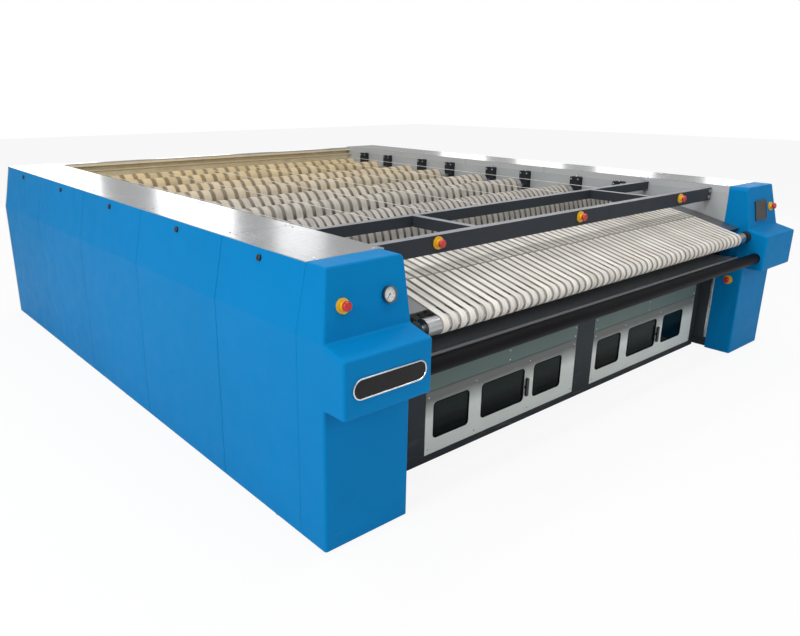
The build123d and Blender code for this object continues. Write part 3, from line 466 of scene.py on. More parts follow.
# %% Moulded, rubber, glass and cord
def moulded(name, shade, rough=0.38, grain=0.00003, gloss=0.2, shine=0.5):
    """Moulded plastic with a fine grain and a few dull scuffs."""

    def recipe(places):
        grit = noise(places, 1500.0, 2.0)
        scuffs = spread(noise(places, 90.0, 5.0), 0.56, 0.74, 0.0, 1.0)
        dull = tuple(c * 0.75 + 0.02 for c in shade[:3]) + (1.0,)
        return {
            "Base Color": tint(scuffs * 0.4, shade, dull),
            "Roughness": spread(grit, 0.3, 0.7, rough - 0.05, rough + 0.05) + scuffs * 0.2,
            "Coat Weight": gloss,
            "Specular IOR Level": shine,
            "Normal": relief(grit, grain),
        }

    return material(name, recipe)


def rubber(places):
    rubs = spread(noise(places, 8.0, 6.0, (0.15, 1.0, 1.0)), 0.45, 0.70, 0.0, 1.0)
    skin = noise(places, 800.0, 2.0)
    return {
        "Base Color": tint(rubs, colour(0.003, 0.003, 0.004), colour(0.009, 0.009, 0.010)),
        "Roughness": spread(rubs, 0.0, 1.0, 0.46, 0.62),
        "Specular IOR Level": 0.08,
        "Normal": relief(skin, 0.00004),
    }


def dark_pane(places):
    height = places.make("SeparateXYZ", {}, {"Vector": places}, "Z")
    dust = spread(noise(places, 30.0, 5.0, (1.0, 1.0, 0.5)), 0.45, 0.8, 0.0, 0.25)
    dust_and_sheen = spread(height, 0.13, 0.17, 0.25, 0.0)
    film = dust + dust_and_sheen
    # Painted reflection: the pane is painted lighter above a height.
    reflected_top = spread(height + noise(places, 9.0, 3.0) * 0.02, 0.232, 0.262, 0.0, 1.0)
    glass = tint(reflected_top, colour(0.001, 0.004, 0.004), colour(0.009, 0.018, 0.017))
    return {
        "Base Color": tint(film, glass, colour(0.009, 0.020, 0.018)),
        "Roughness": spread(film, 0.0, 0.6, 0.06, 0.30),
        "Alpha": spread(film, 0.0, 0.6, 0.94, 0.98),
        "Specular IOR Level": 0.08,
    }


def clear_glass(places):
    wipe = noise(places, 60.0, 4.0, (1.0, 1.0, 0.3))
    return {
        "Base Color": colour(0.75, 0.80, 0.80),
        "Roughness": spread(wipe, 0.4, 0.7, 0.02, 0.09),
        "Alpha": spread(wipe, 0.4, 0.7, 0.10, 0.16),
        "Coat Weight": 0.5,
    }


def braid(places):
    along = places.make("SeparateXYZ", {}, {"Vector": places}, "Y")
    across = places.make("SeparateXYZ", {}, {"Vector": places}, "X")
    right = along.maths("SINE", (along + across) * 2400.0)
    left = along.maths("SINE", (along - across) * 2400.0)
    ridges = right.maths("MAXIMUM", right, left)
    soil = spread(noise(places, 12.0, 4.0), 0.4, 0.7, 0.0, 0.5)
    baked = spread(along, 1.4, 2.2, 0.0, 1.0)
    clean = tint(soil, colour(0.80, 0.79, 0.75), colour(0.52, 0.49, 0.43))
    return {
        "Base Color": tint(baked, clean, colour(0.50, 0.40, 0.23)),
        "Roughness": 0.85,
        "Normal": relief(ridges, 0.0004),
    }


black_plastic = moulded("black_plastic", colour(0.014, 0.014, 0.016), 0.36)
badge_enamel = moulded("badge_enamel", colour(0.004, 0.004, 0.005), 0.30, 0.00001, 0.0, 0.25)
yellow_plastic = moulded("yellow_plastic", colour(0.80, 0.45, 0.018), 0.34)
red_plastic = moulded("red_plastic", colour(0.55, 0.018, 0.012), 0.28, gloss=0.5)
screen_plastic = moulded("screen_plastic", colour(0.022, 0.025, 0.028), 0.40)
comb_plastic = moulded("comb_plastic", colour(0.72, 0.71, 0.66), 0.50)
needle_paint = moulded("needle_paint", colour(0.012, 0.012, 0.012), 0.5)
bar_rubber = material("bar_rubber", rubber)
tinted_glass = material("tinted_glass", dark_pane)
lens_glass = material("lens_glass", clear_glass)
white_cord = material("white_cord", braid)

# %% [markdown]
# ## Every CAD part gets its finish
#
# The CAD parts keep their shapes. Each only gets a new material in its slots, chosen by name, so
# a part that was forgotten is easy to find: the last line counts them.

# %% Dress the CAD parts
finishes = {
    "base_frame": charcoal_paint,
    "levelling_feet": turned_steel,
    "side_frame": wall_paint,
    "front_cap": blue_paint,
    "side_panels": blue_paint,
    "top_covers": top_steel,
    "rear_cover": tanned_steel,
    "panel_locks": black_plastic,
    "front_frame": charcoal_paint,
    "door_fascias": shaded_fascia_paint,
    "window_door": door_paint,
    "door_panes": tinted_glass,
    "door_latch": black_plastic,
    "gantry_frame": charcoal_paint,
    "estop_bases": yellow_plastic,
    "pressure_gauge": case_metal,
    "gauge_needle": needle_paint,
    "touch_screen": screen_plastic,
    "feed_roller": turned_steel,
    "feed_belts": feed_cloth,
    "feed_bed": bed_steel,
    "feed_tray": tray_paint,
    "guard_bar": bar_rubber,
    "guide_strings": white_cord,
    "bearing_blocks": cast_paint,
    "gear_motor": drive_paint,
    "drive_chain": chain_steel,
    "steam_manifold": pipe_steel,
    "belt_tension_bars": turned_steel,
    "transfer_combs": comb_plastic,
    "estop_": red_plastic,
    "heated_roll": roll_steel,
    "guide_roller": felt_sleeve,
    "guide_belts_1": deck_cloth_1,
    "guide_belts_2": deck_cloth_2,
    "guide_belts_3": deck_cloth_3,
    "guide_belts_4": deck_cloth_4,
}
dressed = 0
for name, node in nodes.items():
    chosen = [finish for key, finish in finishes.items() if key in name]
    if name == "estop_bases":
        chosen = [yellow_plastic]
    for slot in node.material_slots:
        slot.material = chosen[0]
        dressed += 1
print("dressed", dressed, "slots of", len(nodes), "parts")

# %% [markdown]
# ## Working as by hand
#
# Each small piece starts as a primitive and is shaped in edit mode, as it would be with the mouse.
# Faces are selected in code by their middle and their normal. Anything that repeats, such as a
# screw, is modelled once at the origin with its head towards +Z; each copy has its own mesh, is
# turned to look along its own direction, and the copies are joined into one piece.

# %% Modelling helpers
LEAN = math.atan(0.192)
CAP_TURN = (math.pi / 2 - LEAN, 0.0, 0.0)
CAP_OUT = Vector((0.0, -math.cos(LEAN), math.sin(LEAN)))


def only(piece):
    """Selects one object and makes it active."""
    bpy.ops.object.select_all(action="DESELECT")
    piece.select_set(True)
    bpy.context.view_layer.objects.active = piece


def begin_edit(mode="FACE"):
    """Edit mode with nothing selected."""
    bpy.ops.object.mode_set(mode="EDIT")
    bpy.ops.mesh.select_mode(type=mode)
    bpy.ops.mesh.select_all(action="DESELECT")


def faces_where(test):
    """Selects only the faces whose middle and normal pass the test."""
    bpy.ops.mesh.select_all(action="DESELECT")
    mesh = bmesh.from_edit_mesh(bpy.context.object.data)
    for face in mesh.faces:
        face.select_set(bool(test(face.calc_center_median(), face.normal)))
    bmesh.update_edit_mesh(bpy.context.object.data)


def points_where(test):
    """Selects only the points that pass the test."""
    bpy.ops.mesh.select_mode(type="VERT")
    bpy.ops.mesh.select_all(action="DESELECT")
    mesh = bmesh.from_edit_mesh(bpy.context.object.data)
    for point in mesh.verts:
        point.select_set(bool(test(point.co)))
    mesh.select_flush_mode()
    bmesh.update_edit_mesh(bpy.context.object.data)


def push(amount):
    """Extrudes the selected faces and moves them."""
    bpy.ops.mesh.extrude_region_move(TRANSFORM_OT_translate={"value": amount})


def settle(piece, name, finish, body, smooth=35.0):
    """Names a finished piece, puts its place in its mesh, gives its finish and makes it ride."""
    if bpy.context.object and bpy.context.object.mode == "EDIT":
        bpy.ops.object.mode_set(mode="OBJECT")
    only(piece)
    bpy.ops.object.transform_apply(location=True, rotation=True, scale=True)
    bpy.ops.object.shade_smooth_by_angle(angle=math.radians(smooth))
    piece.name = name
    piece.data.name = name
    if finish is not None:
        piece.data.materials.clear()
        piece.data.materials.append(finish)
    if body:
        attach(piece, body)
    print(name, len(piece.data.polygons), "faces")
    return piece


def round_edges(piece, width, steps=2, angle=40.0):
    """A bevel on every edge that is sharper than the angle."""
    only(piece)
    bevel = piece.modifiers.new("edges", "BEVEL")
    bevel.width = width
    bevel.segments = steps
    bevel.limit_method = "ANGLE"
    bevel.angle_limit = math.radians(angle)
    bpy.ops.object.modifier_apply(modifier="edges")


def joined(parts):
    """Joins objects into the first of them."""
    bpy.ops.object.select_all(action="DESELECT")
    for part in parts:
        part.select_set(True)
    bpy.context.view_layer.objects.active = parts[0]
    if len(parts) > 1:
        bpy.ops.object.join()
    return parts[0]


def copies(model, places, name, finish, body):
    """One piece made of a copy of the model at each place, each looking along its direction."""
    made = []
    for place, direction, turn in places:
        only(model)
        bpy.ops.object.duplicate(linked=False)
        copy = bpy.context.object
        look = Vector((0, 0, 1)).rotation_difference(Vector(direction)).to_matrix().to_4x4()
        spun = Matrix.Rotation(math.radians(turn), 4, "Z")
        copy.matrix_world = Matrix.Translation(place) @ look @ spun
        made.append(copy)
    return settle(joined(made), name, finish, body)


def put_away(*models):
    """Removes the models once their copies are made."""
    for model in models:
        bpy.data.objects.remove(model, do_unlink=True)


# %% [markdown]
# ## Screws and bolts
#
# Three fasteners serve the whole machine: a domed socket screw for sheet metal, a hexagon bolt
# with its washer for the castings, and a grease nipple. Each is a cylinder whose end faces are
# inset, pushed and scaled, so the socket is a real hole and the dome a real form.

# %% Fastener models
def socket_screw(radius, height):
    """A domed screw head with a hexagon socket."""
    bpy.ops.mesh.primitive_cylinder_add(
        vertices=18, radius=radius, depth=height * 0.5, location=(0, 0, height * 0.25)
    )
    screw = bpy.context.object
    bpy.ops.object.transform_apply(location=True)
    begin_edit()
    faces_where(lambda middle, normal: normal.z > 0.9)
    push((0, 0, height * 0.5))
    bpy.ops.transform.resize(value=(0.70, 0.70, 1.0))
    bpy.ops.mesh.inset(thickness=radius * 0.28)
    push((0, 0, -height * 0.45))
    bpy.ops.object.mode_set(mode="OBJECT")
    return screw


def hexagon_bolt(radius, height):
    """A hexagon head on a round washer."""
    bpy.ops.mesh.primitive_cylinder_add(
        vertices=24, radius=radius * 1.25, depth=height * 0.2, location=(0, 0, height * 0.1)
    )
    washer = bpy.context.object
    bpy.ops.mesh.primitive_cylinder_add(
        vertices=6, radius=radius, depth=height * 0.8, location=(0, 0, height * 0.6)
    )
    head = bpy.context.object
    bpy.ops.object.transform_apply(location=True)
    begin_edit()
    faces_where(lambda middle, normal: normal.z > 0.9)
    bpy.ops.mesh.inset(thickness=radius * 0.10)
    bpy.ops.transform.translate(value=(0, 0, height * 0.06))
    bpy.ops.object.mode_set(mode="OBJECT")
    washer.select_set(True)
    head.select_set(True)
    bpy.ops.object.join()
    bpy.ops.object.transform_apply(location=True)
    return head


sheet_screw = socket_screw(0.0055, 0.0035)
large_bolt = hexagon_bolt(0.011, 0.009)
small_bolt = hexagon_bolt(0.0065, 0.005)
print("screw faces", len(sheet_screw.data.polygons), "bolt faces", len(large_bolt.data.polygons))

# %% [markdown]
# ## The bare badge place
#
# The left nose carries a black plate with a bright rim and rounded ends. It is left bare. It
# starts as a cylinder that looks forwards; its right half and its left half are moved apart, and
# the front face is inset twice: once for the rim and once for the step down to the plate.

# %% Badge plate
cap_low, cap_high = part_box("left_front_cap")
plate_x = cap_low.x + 0.2375
plate_z = 0.781
plate_high = 0.090
plate_reach = (0.393 - plate_high) / 2
bpy.ops.mesh.primitive_cylinder_add(
    vertices=64,
    radius=plate_high / 2,
    depth=0.006,
    location=(plate_x, cap_low.y - 0.003, plate_z),
    rotation=(math.pi / 2, 0.0, 0.0),
)
badge = bpy.context.object
bpy.ops.object.transform_apply(location=True, rotation=True)
badge.data.materials.append(rim_metal)
badge.data.materials.append(badge_enamel)
begin_edit("VERT")
points_where(lambda point: point.x > plate_x + 0.001)
bpy.ops.transform.translate(value=(plate_reach, 0, 0))
points_where(lambda point: point.x < plate_x - 0.001)
bpy.ops.transform.translate(value=(-plate_reach, 0, 0))
bpy.ops.mesh.select_mode(type="FACE")
faces_where(lambda middle, normal: normal.y < -0.9)
bpy.ops.mesh.inset(thickness=0.0015)
bpy.ops.transform.translate(value=(0, -0.001, 0))
bpy.ops.mesh.inset(thickness=0.0035)
bpy.ops.mesh.inset(thickness=0.0012)
bpy.ops.transform.translate(value=(0, 0.0022, 0))
faces_where(lambda middle, normal: normal.y < -0.9 and abs(middle.x - plate_x) < 0.02)
bpy.context.object.active_material_index = 1
bpy.ops.object.material_slot_assign()
settle(badge, "badge_plate", None, "frame")

# %% [markdown]
# ## The pressure gauge's face
#
# The gauge sits in the leaning front of the left cap. Under its glass is a white dial with a
# stroke for each step of pressure, longer strokes at the numbers, and plain numbers. The strokes
# are one small bar, copied round the middle; the numbers are text made into a mesh.

# %% Gauge dial
def on_cap(x, height, out):
    """A point on the leaning part of a front cap, some metres in front of the sheet."""
    foot = Vector((x, -2.211 + 0.192 * (height - 0.940), height))
    return foot + CAP_OUT * out


gauge_low, gauge_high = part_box("pressure_gauge")
gauge_x = (gauge_low.x + gauge_high.x) / 2
gauge_z = 1.076
bpy.ops.mesh.primitive_cylinder_add(
    vertices=64, radius=0.0306, depth=0.0002, location=on_cap(gauge_x, gauge_z, 0.0091), rotation=CAP_TURN
)
dial = bpy.context.object
bpy.ops.object.transform_apply(location=True, rotation=True)
begin_edit()
faces_where(lambda middle, normal: normal.dot(CAP_OUT) > 0.9)
bpy.ops.mesh.inset(thickness=0.002)
bpy.ops.mesh.inset(thickness=0.016)
bpy.ops.object.mode_set(mode="OBJECT")


def dial_paper(places):
    speck = noise(places, 900.0, 2.0)
    return {
        "Base Color": tint(speck, colour(0.78, 0.78, 0.75), colour(0.84, 0.84, 0.82)),
        "Roughness": spread(speck, 0.3, 0.7, 0.5, 0.62),
    }


white_print = material("white_print", dial_paper)
settle(dial, "gauge_dial", white_print, "frame")

bpy.ops.mesh.primitive_cube_add(size=1.0)
stroke = bpy.context.object
stroke.scale = (0.0005, 0.0032, 0.0002)
bpy.ops.object.transform_apply(scale=True)
begin_edit()
faces_where(lambda middle, normal: normal.y < -0.9)
bpy.ops.transform.resize(value=(0.7, 1.0, 1.0))
bpy.ops.object.mode_set(mode="OBJECT")
middle_matrix = Matrix.Translation(on_cap(gauge_x, gauge_z, 0.0093)) @ Matrix.Rotation(CAP_TURN[0], 4, "X")
strokes = []
for step in range(31):
    long = step % 5 == 0
    angle = math.radians(135.0 - step * 9.0)
    only(stroke)
    bpy.ops.object.duplicate(linked=False)
    mark = bpy.context.object
    size = Matrix.Diagonal((1.8 if long else 1.0, 1.5 if long else 1.0, 1.0, 1.0))
    turn = Matrix.Rotation(angle, 4, "Z")
    mark.matrix_world = middle_matrix @ turn @ Matrix.Translation((0, 0.0265, 0)) @ size
    strokes.append(mark)
for number in range(7):
    angle = math.radians(135.0 - number * 45.0)
    bpy.ops.object.text_add()
    figure = bpy.context.object
    figure.data.body = str(number * 2)
    figure.data.size = 0.0072
    figure.data.extrude = 0.0001
    figure.data.align_x = "CENTER"
    figure.data.align_y = "CENTER"
    figure.data.resolution_u = 3
    bpy.ops.object.convert(target="MESH")
    figure = bpy.context.object
    reach = Vector((-math.sin(angle), math.cos(angle), 0.0)) * 0.0195
    figure.matrix_world = middle_matrix @ Matrix.Translation(reach)
    strokes.append(figure)
marks = settle(joined(strokes), "gauge_marks", needle_paint, "frame")
put_away(stroke)

bpy.ops.mesh.primitive_cylinder_add(
    vertices=48, radius=0.0309, depth=0.0012, location=on_cap(gauge_x, gauge_z, 0.0136), rotation=CAP_TURN
)
lens = bpy.context.object
bpy.ops.object.transform_apply(location=True, rotation=True)
begin_edit()
for side in (1.0, -1.0):
    faces_where(lambda middle, normal: normal.dot(CAP_OUT) * side > 0.9)
    for inset in (0.004, 0.008, 0.010):
        bpy.ops.mesh.inset(thickness=inset)
        bpy.ops.transform.translate(value=CAP_OUT * 0.0004)
settle(lens, "gauge_lens", lens_glass, "frame", 60.0)

# %% [markdown]
# ## The operator's screen
#
# The touch screen is a dark glass panel that sits in its plastic frame. Its picture is generic:
# a header strip, a column of four round-cornered keys and a bar for each roll's temperature, with
# no words. They glow weakly, because the photographed screen is nearly black.

# %% Screen picture
screen_low, screen_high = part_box("touch_screen")
screen_x = (screen_low.x + screen_high.x) / 2
screen_z = 1.060
screen_matrix = Matrix.Translation(on_cap(screen_x, screen_z, 0.0)) @ Matrix.Rotation(CAP_TURN[0], 4, "X")


def tile(x, y, wide, high, out, thick, corner):
    """A flat tile with rounded corners, x and y from the middle of the screen."""
    bpy.ops.mesh.primitive_plane_add(size=1.0)
    made = bpy.context.object
    made.scale = (wide, high, 1.0)
    bpy.ops.object.transform_apply(scale=True)
    bpy.ops.object.mode_set(mode="EDIT")
    bpy.ops.mesh.select_all(action="SELECT")
    bpy.ops.mesh.bevel(offset=corner, segments=4, affect="VERTICES")
    bpy.ops.mesh.select_all(action="SELECT")
    push((0, 0, thick))
    bpy.ops.object.mode_set(mode="OBJECT")
    made.matrix_world = screen_matrix @ Matrix.Translation((x, y, out))
    bpy.ops.object.transform_apply(location=True, rotation=True)
    bpy.ops.object.mode_set(mode="EDIT")
    bpy.ops.mesh.select_all(action="SELECT")
    bpy.ops.mesh.normals_make_consistent(inside=False)
    bpy.ops.object.mode_set(mode="OBJECT")
    return made


def black_glass(places):
    smear = spread(noise(places, 50.0, 4.0, (1.0, 1.0, 0.4)), 0.45, 0.75, 0.0, 1.0)
    return {
        "Base Color": tint(smear, colour(0.006, 0.008, 0.010), colour(0.020, 0.023, 0.026)),
        "Roughness": spread(smear, 0.0, 1.0, 0.10, 0.28),
        "Coat Weight": 0.4,
    }


def lit(name, shade, power):
    """A weakly glowing print under glass, a little uneven as a back light is."""

    def recipe(places):
        uneven = spread(noise(places, 30.0, 1.0), 0.3, 0.7, 0.75, 1.0)
        dim = tuple(c * 0.5 for c in shade[:3]) + (1.0,)
        glow = tint(uneven, dim, shade)
        return {"Base Color": glow, "Roughness": 0.4, "Emission Color": glow, "Emission Strength": power}

    return material(name, recipe)


screen_glass = tile(0.0, 0.0, 0.159, 0.116, 0.0060, 0.0008, 0.004)
settle(screen_glass, "screen_glass", material("black_glass", black_glass), "frame")
keys = [tile(-0.060, 0.030 - 0.022 * k, 0.022, 0.016, 0.0068, 0.0002, 0.003) for k in range(4)]
bars = [tile(-0.020 + 0.027 * k, -0.008, 0.012, 0.050 + 0.008 * k, 0.0068, 0.0002, 0.002) for k in range(4)]
header = [tile(0.0, 0.048, 0.146, 0.010, 0.0068, 0.0002, 0.002)]
for name, group, finish in (
    ("screen_keys", keys, lit("key_glow", colour(0.10, 0.20, 0.24), 0.25)),
    ("screen_bars", bars, lit("bar_glow", colour(0.05, 0.22, 0.12), 0.25)),
    ("screen_header", header, lit("header_glow", colour(0.07, 0.10, 0.16), 0.20)),
):
    print_on_screen = settle(joined(group), name, finish, "frame")

# %% [markdown]
# ## Window seals
#
# Each door has three windows with rounded corners, held in a black rubber seal. A plane has its
# four corners bevelled, its face is taken away so that only the outline stays, and the outline
# becomes a curve with a round section. The curve is made a mesh before it is put in place.

# %% Window seals on the doors
def window_seal(left, right, front):
    """A rubber outline round one window."""
    wide = right - left
    high = 0.202
    bpy.ops.mesh.primitive_plane_add(size=1.0)
    seal = bpy.context.object
    seal.scale = (wide, high, 1.0)
    bpy.ops.object.transform_apply(scale=True)
    bpy.ops.object.mode_set(mode="EDIT")
    bpy.ops.mesh.select_all(action="SELECT")
    bpy.ops.mesh.bevel(offset=0.022, segments=7, affect="VERTICES")
    bpy.ops.mesh.select_all(action="SELECT")
    bpy.ops.mesh.delete(type="ONLY_FACE")
    bpy.ops.object.mode_set(mode="OBJECT")
    bpy.ops.object.convert(target="CURVE")
    bpy.context.object.data.bevel_depth = 0.0034
    bpy.context.object.data.bevel_resolution = 3
    bpy.ops.object.convert(target="MESH")
    seal = bpy.context.object
    seal.location = ((left + right) / 2, front, 0.234)
    seal.rotation_euler = (math.pi / 2, 0.0, 0.0)
    bpy.ops.object.transform_apply(location=True, rotation=True)
    return seal


door_stiles = {"left": (0.062, 0.108, 0.094), "right": (0.051, 0.105, 0.099)}
door_glass = {"left": (0.270, 0.371, 0.267), "right": (0.275, 0.366, 0.277)}
windows = {}
for side in ("left", "right"):
    door_low, door_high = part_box(f"{side}_window_door")
    x = door_low.x - 0.002
    windows[side] = []
    for stile, glass in zip(door_stiles[side], door_glass[side]):
        x += stile
        windows[side].append((x, x + glass))
        x += glass
    seals = [window_seal(left, right, door_low.y) for left, right in windows[side]]
    piece = settle(joined(seals), f"{side}_window_seals", bar_rubber, f"{side}_door")

# %% [markdown]
# ## Screws on the doors and fascias
#
# The panes are clamped behind each door by small screws between the windows, and the fixed panel
# above each door is held at its corners.

# %% Door screws
forwards = (0.0, -1.0, 0.0)
for side in ("left", "right"):
    door_low, door_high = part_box(f"{side}_window_door")
    places = []
    edges = [door_low.x + 0.020] + [x for pair in windows[side] for x in pair] + [door_high.x - 0.020]
    middles = [(edges[2] + edges[3]) / 2, (edges[4] + edges[5]) / 2]
    turn = 7.0
    for x in [edges[0], middles[0], middles[1], edges[-1]]:
        for height in (0.075, 0.375):
            places.append(((x, door_low.y, height), forwards, turn))
            turn += 23.0
    screws = copies(sheet_screw, places, f"{side}_door_screws", rim_metal, f"{side}_door")

fascia_low, fascia_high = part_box("door_fascias")
places = []
for x in (-1.245, -0.60, 0.036, 0.270, 0.92, 1.571):
    for height in (0.428, 0.484):
        places.append(((x, fascia_low.y, height), forwards, x * 400.0))
screws = copies(sheet_screw, places, "fascia_screws", rim_metal, "frame")

# %% [markdown]
# ## Edge strips on the inner walls
#
# Where the front cap meets the inner wall, beside the doors, a bright strip with three screws
# covers the joint. It is one cube drawn out and given round edges, and mirrored for the left wall
# by giving its place a minus sign.

# %% Edge strips
wall_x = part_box("right_side_frame")[0].x
for side, sign in (("left", -1.0), ("right", 1.0)):
    bpy.ops.mesh.primitive_cube_add(size=1.0, location=(sign * (wall_x - 0.0015), -2.021, 0.345))
    strip = bpy.context.object
    strip.scale = (0.003, 0.020, 0.510)
    bpy.ops.object.transform_apply(location=True, scale=True)
    begin_edit()
    faces_where(lambda middle, normal: normal.x * sign < -0.9)
    bpy.ops.mesh.inset(thickness=0.003)
    push((-sign * 0.0012, 0, 0))
    round_strip = bpy.context.object
    bpy.ops.object.mode_set(mode="OBJECT")
    round_edges(round_strip, 0.0005)
    settle(round_strip, f"{side}_edge_strip", rim_metal, "frame")
    inwards = (-sign, 0.0, 0.0)
    rows = [((sign * (wall_x - 0.0042), -2.021, z), inwards, 900.0 * z) for z in (0.154, 0.308, 0.458)]
    screws = copies(sheet_screw, rows, f"{side}_strip_screws", turned_steel, "frame")

# %% [markdown]
# ## Bolts on the castings
#
# Each guide roller turns in a cast block on the inner wall. Four bolts hold the block and a
# grease nipple stands on its top. The climb of the deck is 11 mm a metre, so the blocks rise
# towards the back. Heavier bolts fix the two gantry beams to the walls.

# %% Block bolts, nipples and gantry bolts
rolls = [-0.9865 + 0.925 * k for k in range(4)]
blocks = [y + shift for y in rolls for shift in (-0.1975, 0.1975)]
block_face = 1.605
bolts = []
nipples = []
for y in blocks:
    axis_z = 1.068 + 0.0112 * (y + 0.9865)
    for sign in (-1.0, 1.0):
        inwards = (-sign, 0.0, 0.0)
        for shift in (-0.033, 0.033):
            for lift in (-0.046, 0.105):
                place = (sign * block_face, y + shift, axis_z + lift)
                bolts.append((place, inwards, y * 300.0 + lift * 900.0))
        nipples.append(((sign * (block_face + 0.025), y, axis_z + 0.125), (0.0, 0.0, 1.0), 0.0))
piece = copies(small_bolt, bolts, "block_bolts", turned_steel, "frame")

bpy.ops.mesh.primitive_cylinder_add(vertices=12, radius=0.0045, depth=0.006, location=(0, 0, 0.003))
nipple = bpy.context.object
bpy.ops.object.transform_apply(location=True)
begin_edit()
faces_where(lambda middle, normal: normal.z > 0.9)
bpy.ops.transform.resize(value=(0.55, 0.55, 1.0))
push((0, 0, 0.003))
push((0, 0, 0.002))
bpy.ops.transform.resize(value=(1.5, 1.5, 1.0))
push((0, 0, 0.002))
bpy.ops.transform.resize(value=(0.4, 0.4, 1.0))
bpy.ops.object.mode_set(mode="OBJECT")
piece = copies(nipple, nipples, "grease_nipples", rim_metal, "frame")

gantry_bolts = []
for sign in (-1.0, 1.0):
    for y in (-1.906,):
        for height in (1.143, 1.187):
            gantry_bolts.append(((sign * 1.628, y, height), forwards, height * 500.0))
    for y in (-1.881, -1.3985):
        gantry_bolts.append(((sign * 1.628, y, 1.210), (0.0, 0.0, 1.0), y * 90.0))
piece = copies(large_bolt, gantry_bolts, "gantry_bolts", turned_steel, "frame")

# %% [markdown]
# ## Screws in the stainless covers
#
# The covers lift off for cleaning. Domed screws stand in pairs on both sides of each cross joint,
# near the inner and the outer edge.

# %% Cover screws
def cover_height(y):
    """Height of the covers' top face at a place along the machine."""
    return 1.228 + 0.047 * (y + 2.211) / 4.550


cover_low, cover_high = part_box("right_top_covers")
seams = [-1.361 + 0.921 * k for k in range(4)]
ends = [cover_low.y + 0.03] + [s + d for s in seams for d in (-0.03, 0.03)] + [cover_high.y - 0.05]
places = []
for y in ends:
    for sign in (-1.0, 1.0):
        for x in (cover_low.x + 0.035, cover_high.x - 0.060):
            places.append(((sign * x, y, cover_height(y)), (0.0, -0.0103, 1.0), y * 777.0 + x * 90.0))
piece = copies(sheet_screw, places, "cover_screws", rim_metal, "frame")

# %% [markdown]
# ## Belt joints
#
# A belt is closed by a row of small steel hooks. On the feed table all the joints lie nearly in
# line at the bend, which makes the thin dark line across the photographed table. On the deck
# they lie anywhere. One joint is a narrow grid: every second strip of it is drawn up as a hook.

# %% Belt joints
bpy.ops.mesh.primitive_grid_add(x_subdivisions=13, y_subdivisions=1, size=1.0)
joint = bpy.context.object
joint.scale = (0.038, 0.011, 1.0)
bpy.ops.object.transform_apply(scale=True)
begin_edit()
faces_where(lambda middle, normal: int((middle.x + 0.019) / 0.038 * 13) % 2 == 0)
push((0, 0, 0.0006))
bpy.ops.object.mode_set(mode="OBJECT")
thick = joint.modifiers.new("wire", "SOLIDIFY")
thick.thickness = 0.0006
thick.offset = 1.0
bpy.ops.object.modifier_apply(modifier="wire")

feed_low, feed_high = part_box("feed_belts")
places = []
for number in range(52):
    x = feed_low.x + 0.020 + 0.0574 * number
    back = 0.010 + 0.0012 * math.sin(number * 2.3) + 0.0008 * math.sin(number * 5.1)
    slope = Vector((0.0, -0.2662, 0.9639))
    places.append(((x, -1.878 - back, 1.0174 - 0.2762 * back), slope, 0.0))
piece = copies(joint, places, "feed_belt_joints", hook_steel, "frame")

places = []
for module, (count, wide) in enumerate(((50, 0.040), (35, 0.056), (29, 0.068), (25, 0.080))):
    low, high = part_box(f"guide_belts_{module + 1}")
    pitch = (high.x - low.x - wide) / (count - 1)
    for number in range(count):
        x = low.x + wide / 2 + pitch * number
        behind = (number * 7 + module * 3) % 3
        if behind < 2:
            y = rolls[module] + (-0.1975, 0.1975)[behind]
            top = 1.068 + 0.0112 * (y + 0.9865) + 0.0738
            places.append(((x, y, top), (0.0, 0.0, 1.0), 0.0))
piece = copies(joint, places, "deck_belt_joints", hook_steel, "frame")

# %% [markdown]
# ## Turning arrows on the emergency stops
#
# A pressed stop is let go by turning its cap, and three raised arrows show which way. One arrow
# is a small square spun along an arc, with its last face drawn out to a point. It is copied at
# three angles on every cap and rides with the cap.

# %% Emergency stop arrows
bpy.ops.mesh.primitive_cube_add(size=1.0, location=(0.0125, 0.0, 0.00015))
arrow = bpy.context.object
arrow.scale = (0.0022, 0.0010, 0.0005)
bpy.ops.object.transform_apply(location=True, scale=True)
begin_edit()
faces_where(lambda middle, normal: normal.y > 0.9)
for step in range(6):
    push((0, 0, 0))
    bpy.ops.transform.rotate(
        value=math.radians(-9.0), orient_axis="Z", center_override=(0.0, 0.0, 0.0)
    )
bpy.ops.transform.resize(value=(2.2, 2.2, 1.0))
push((0, 0, 0))
bpy.ops.transform.rotate(value=math.radians(-16.0), orient_axis="Z", center_override=(0.0, 0.0, 0.0))
bpy.ops.transform.resize(value=(0.08, 0.08, 1.0))
bpy.ops.object.mode_set(mode="OBJECT")
arrow_span = [round(c * 1000, 1) for c in arrow.dimensions]
print("arrow", arrow_span, "mm")

dark_red = moulded("dark_red", colour(0.26, 0.010, 0.008), 0.4)
stops = {
    "gantry_left": forwards,
    "gantry_centre": forwards,
    "gantry_right": forwards,
    "left_cap": tuple(CAP_OUT),
    "right_cap": tuple(CAP_OUT),
    "right_column": (-1.0, 0.0, 0.0),
}
for name, direction in stops.items():
    low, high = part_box(f"estop_{name}")
    out = Vector(direction)
    middle = (low + high) / 2
    corners = [v.co for v in nodes[f"estop_{name}"].data.vertices]
    reach = max((corner - middle).dot(out) for corner in corners)
    centre = middle + out * reach
    places = [(centre, direction, turn) for turn in (0.0, 120.0, 240.0)]
    piece = copies(arrow, places, f"arrows_{name}", dark_red, f"estop_{name}")

# %% [markdown]
# ## Strips, screws and louvres at the back
#
# The photograph doesn't show the back, so it is dressed as such machines usually are. Flat strips
# cover the upright joints between the sheets, with a pair of screws every hand's width, and each
# housing breathes through a field of pressed louvres low on its rear wall. A louvre is a cube
# whose upper edge is drawn back to the sheet, so that it opens downwards and sheds water.

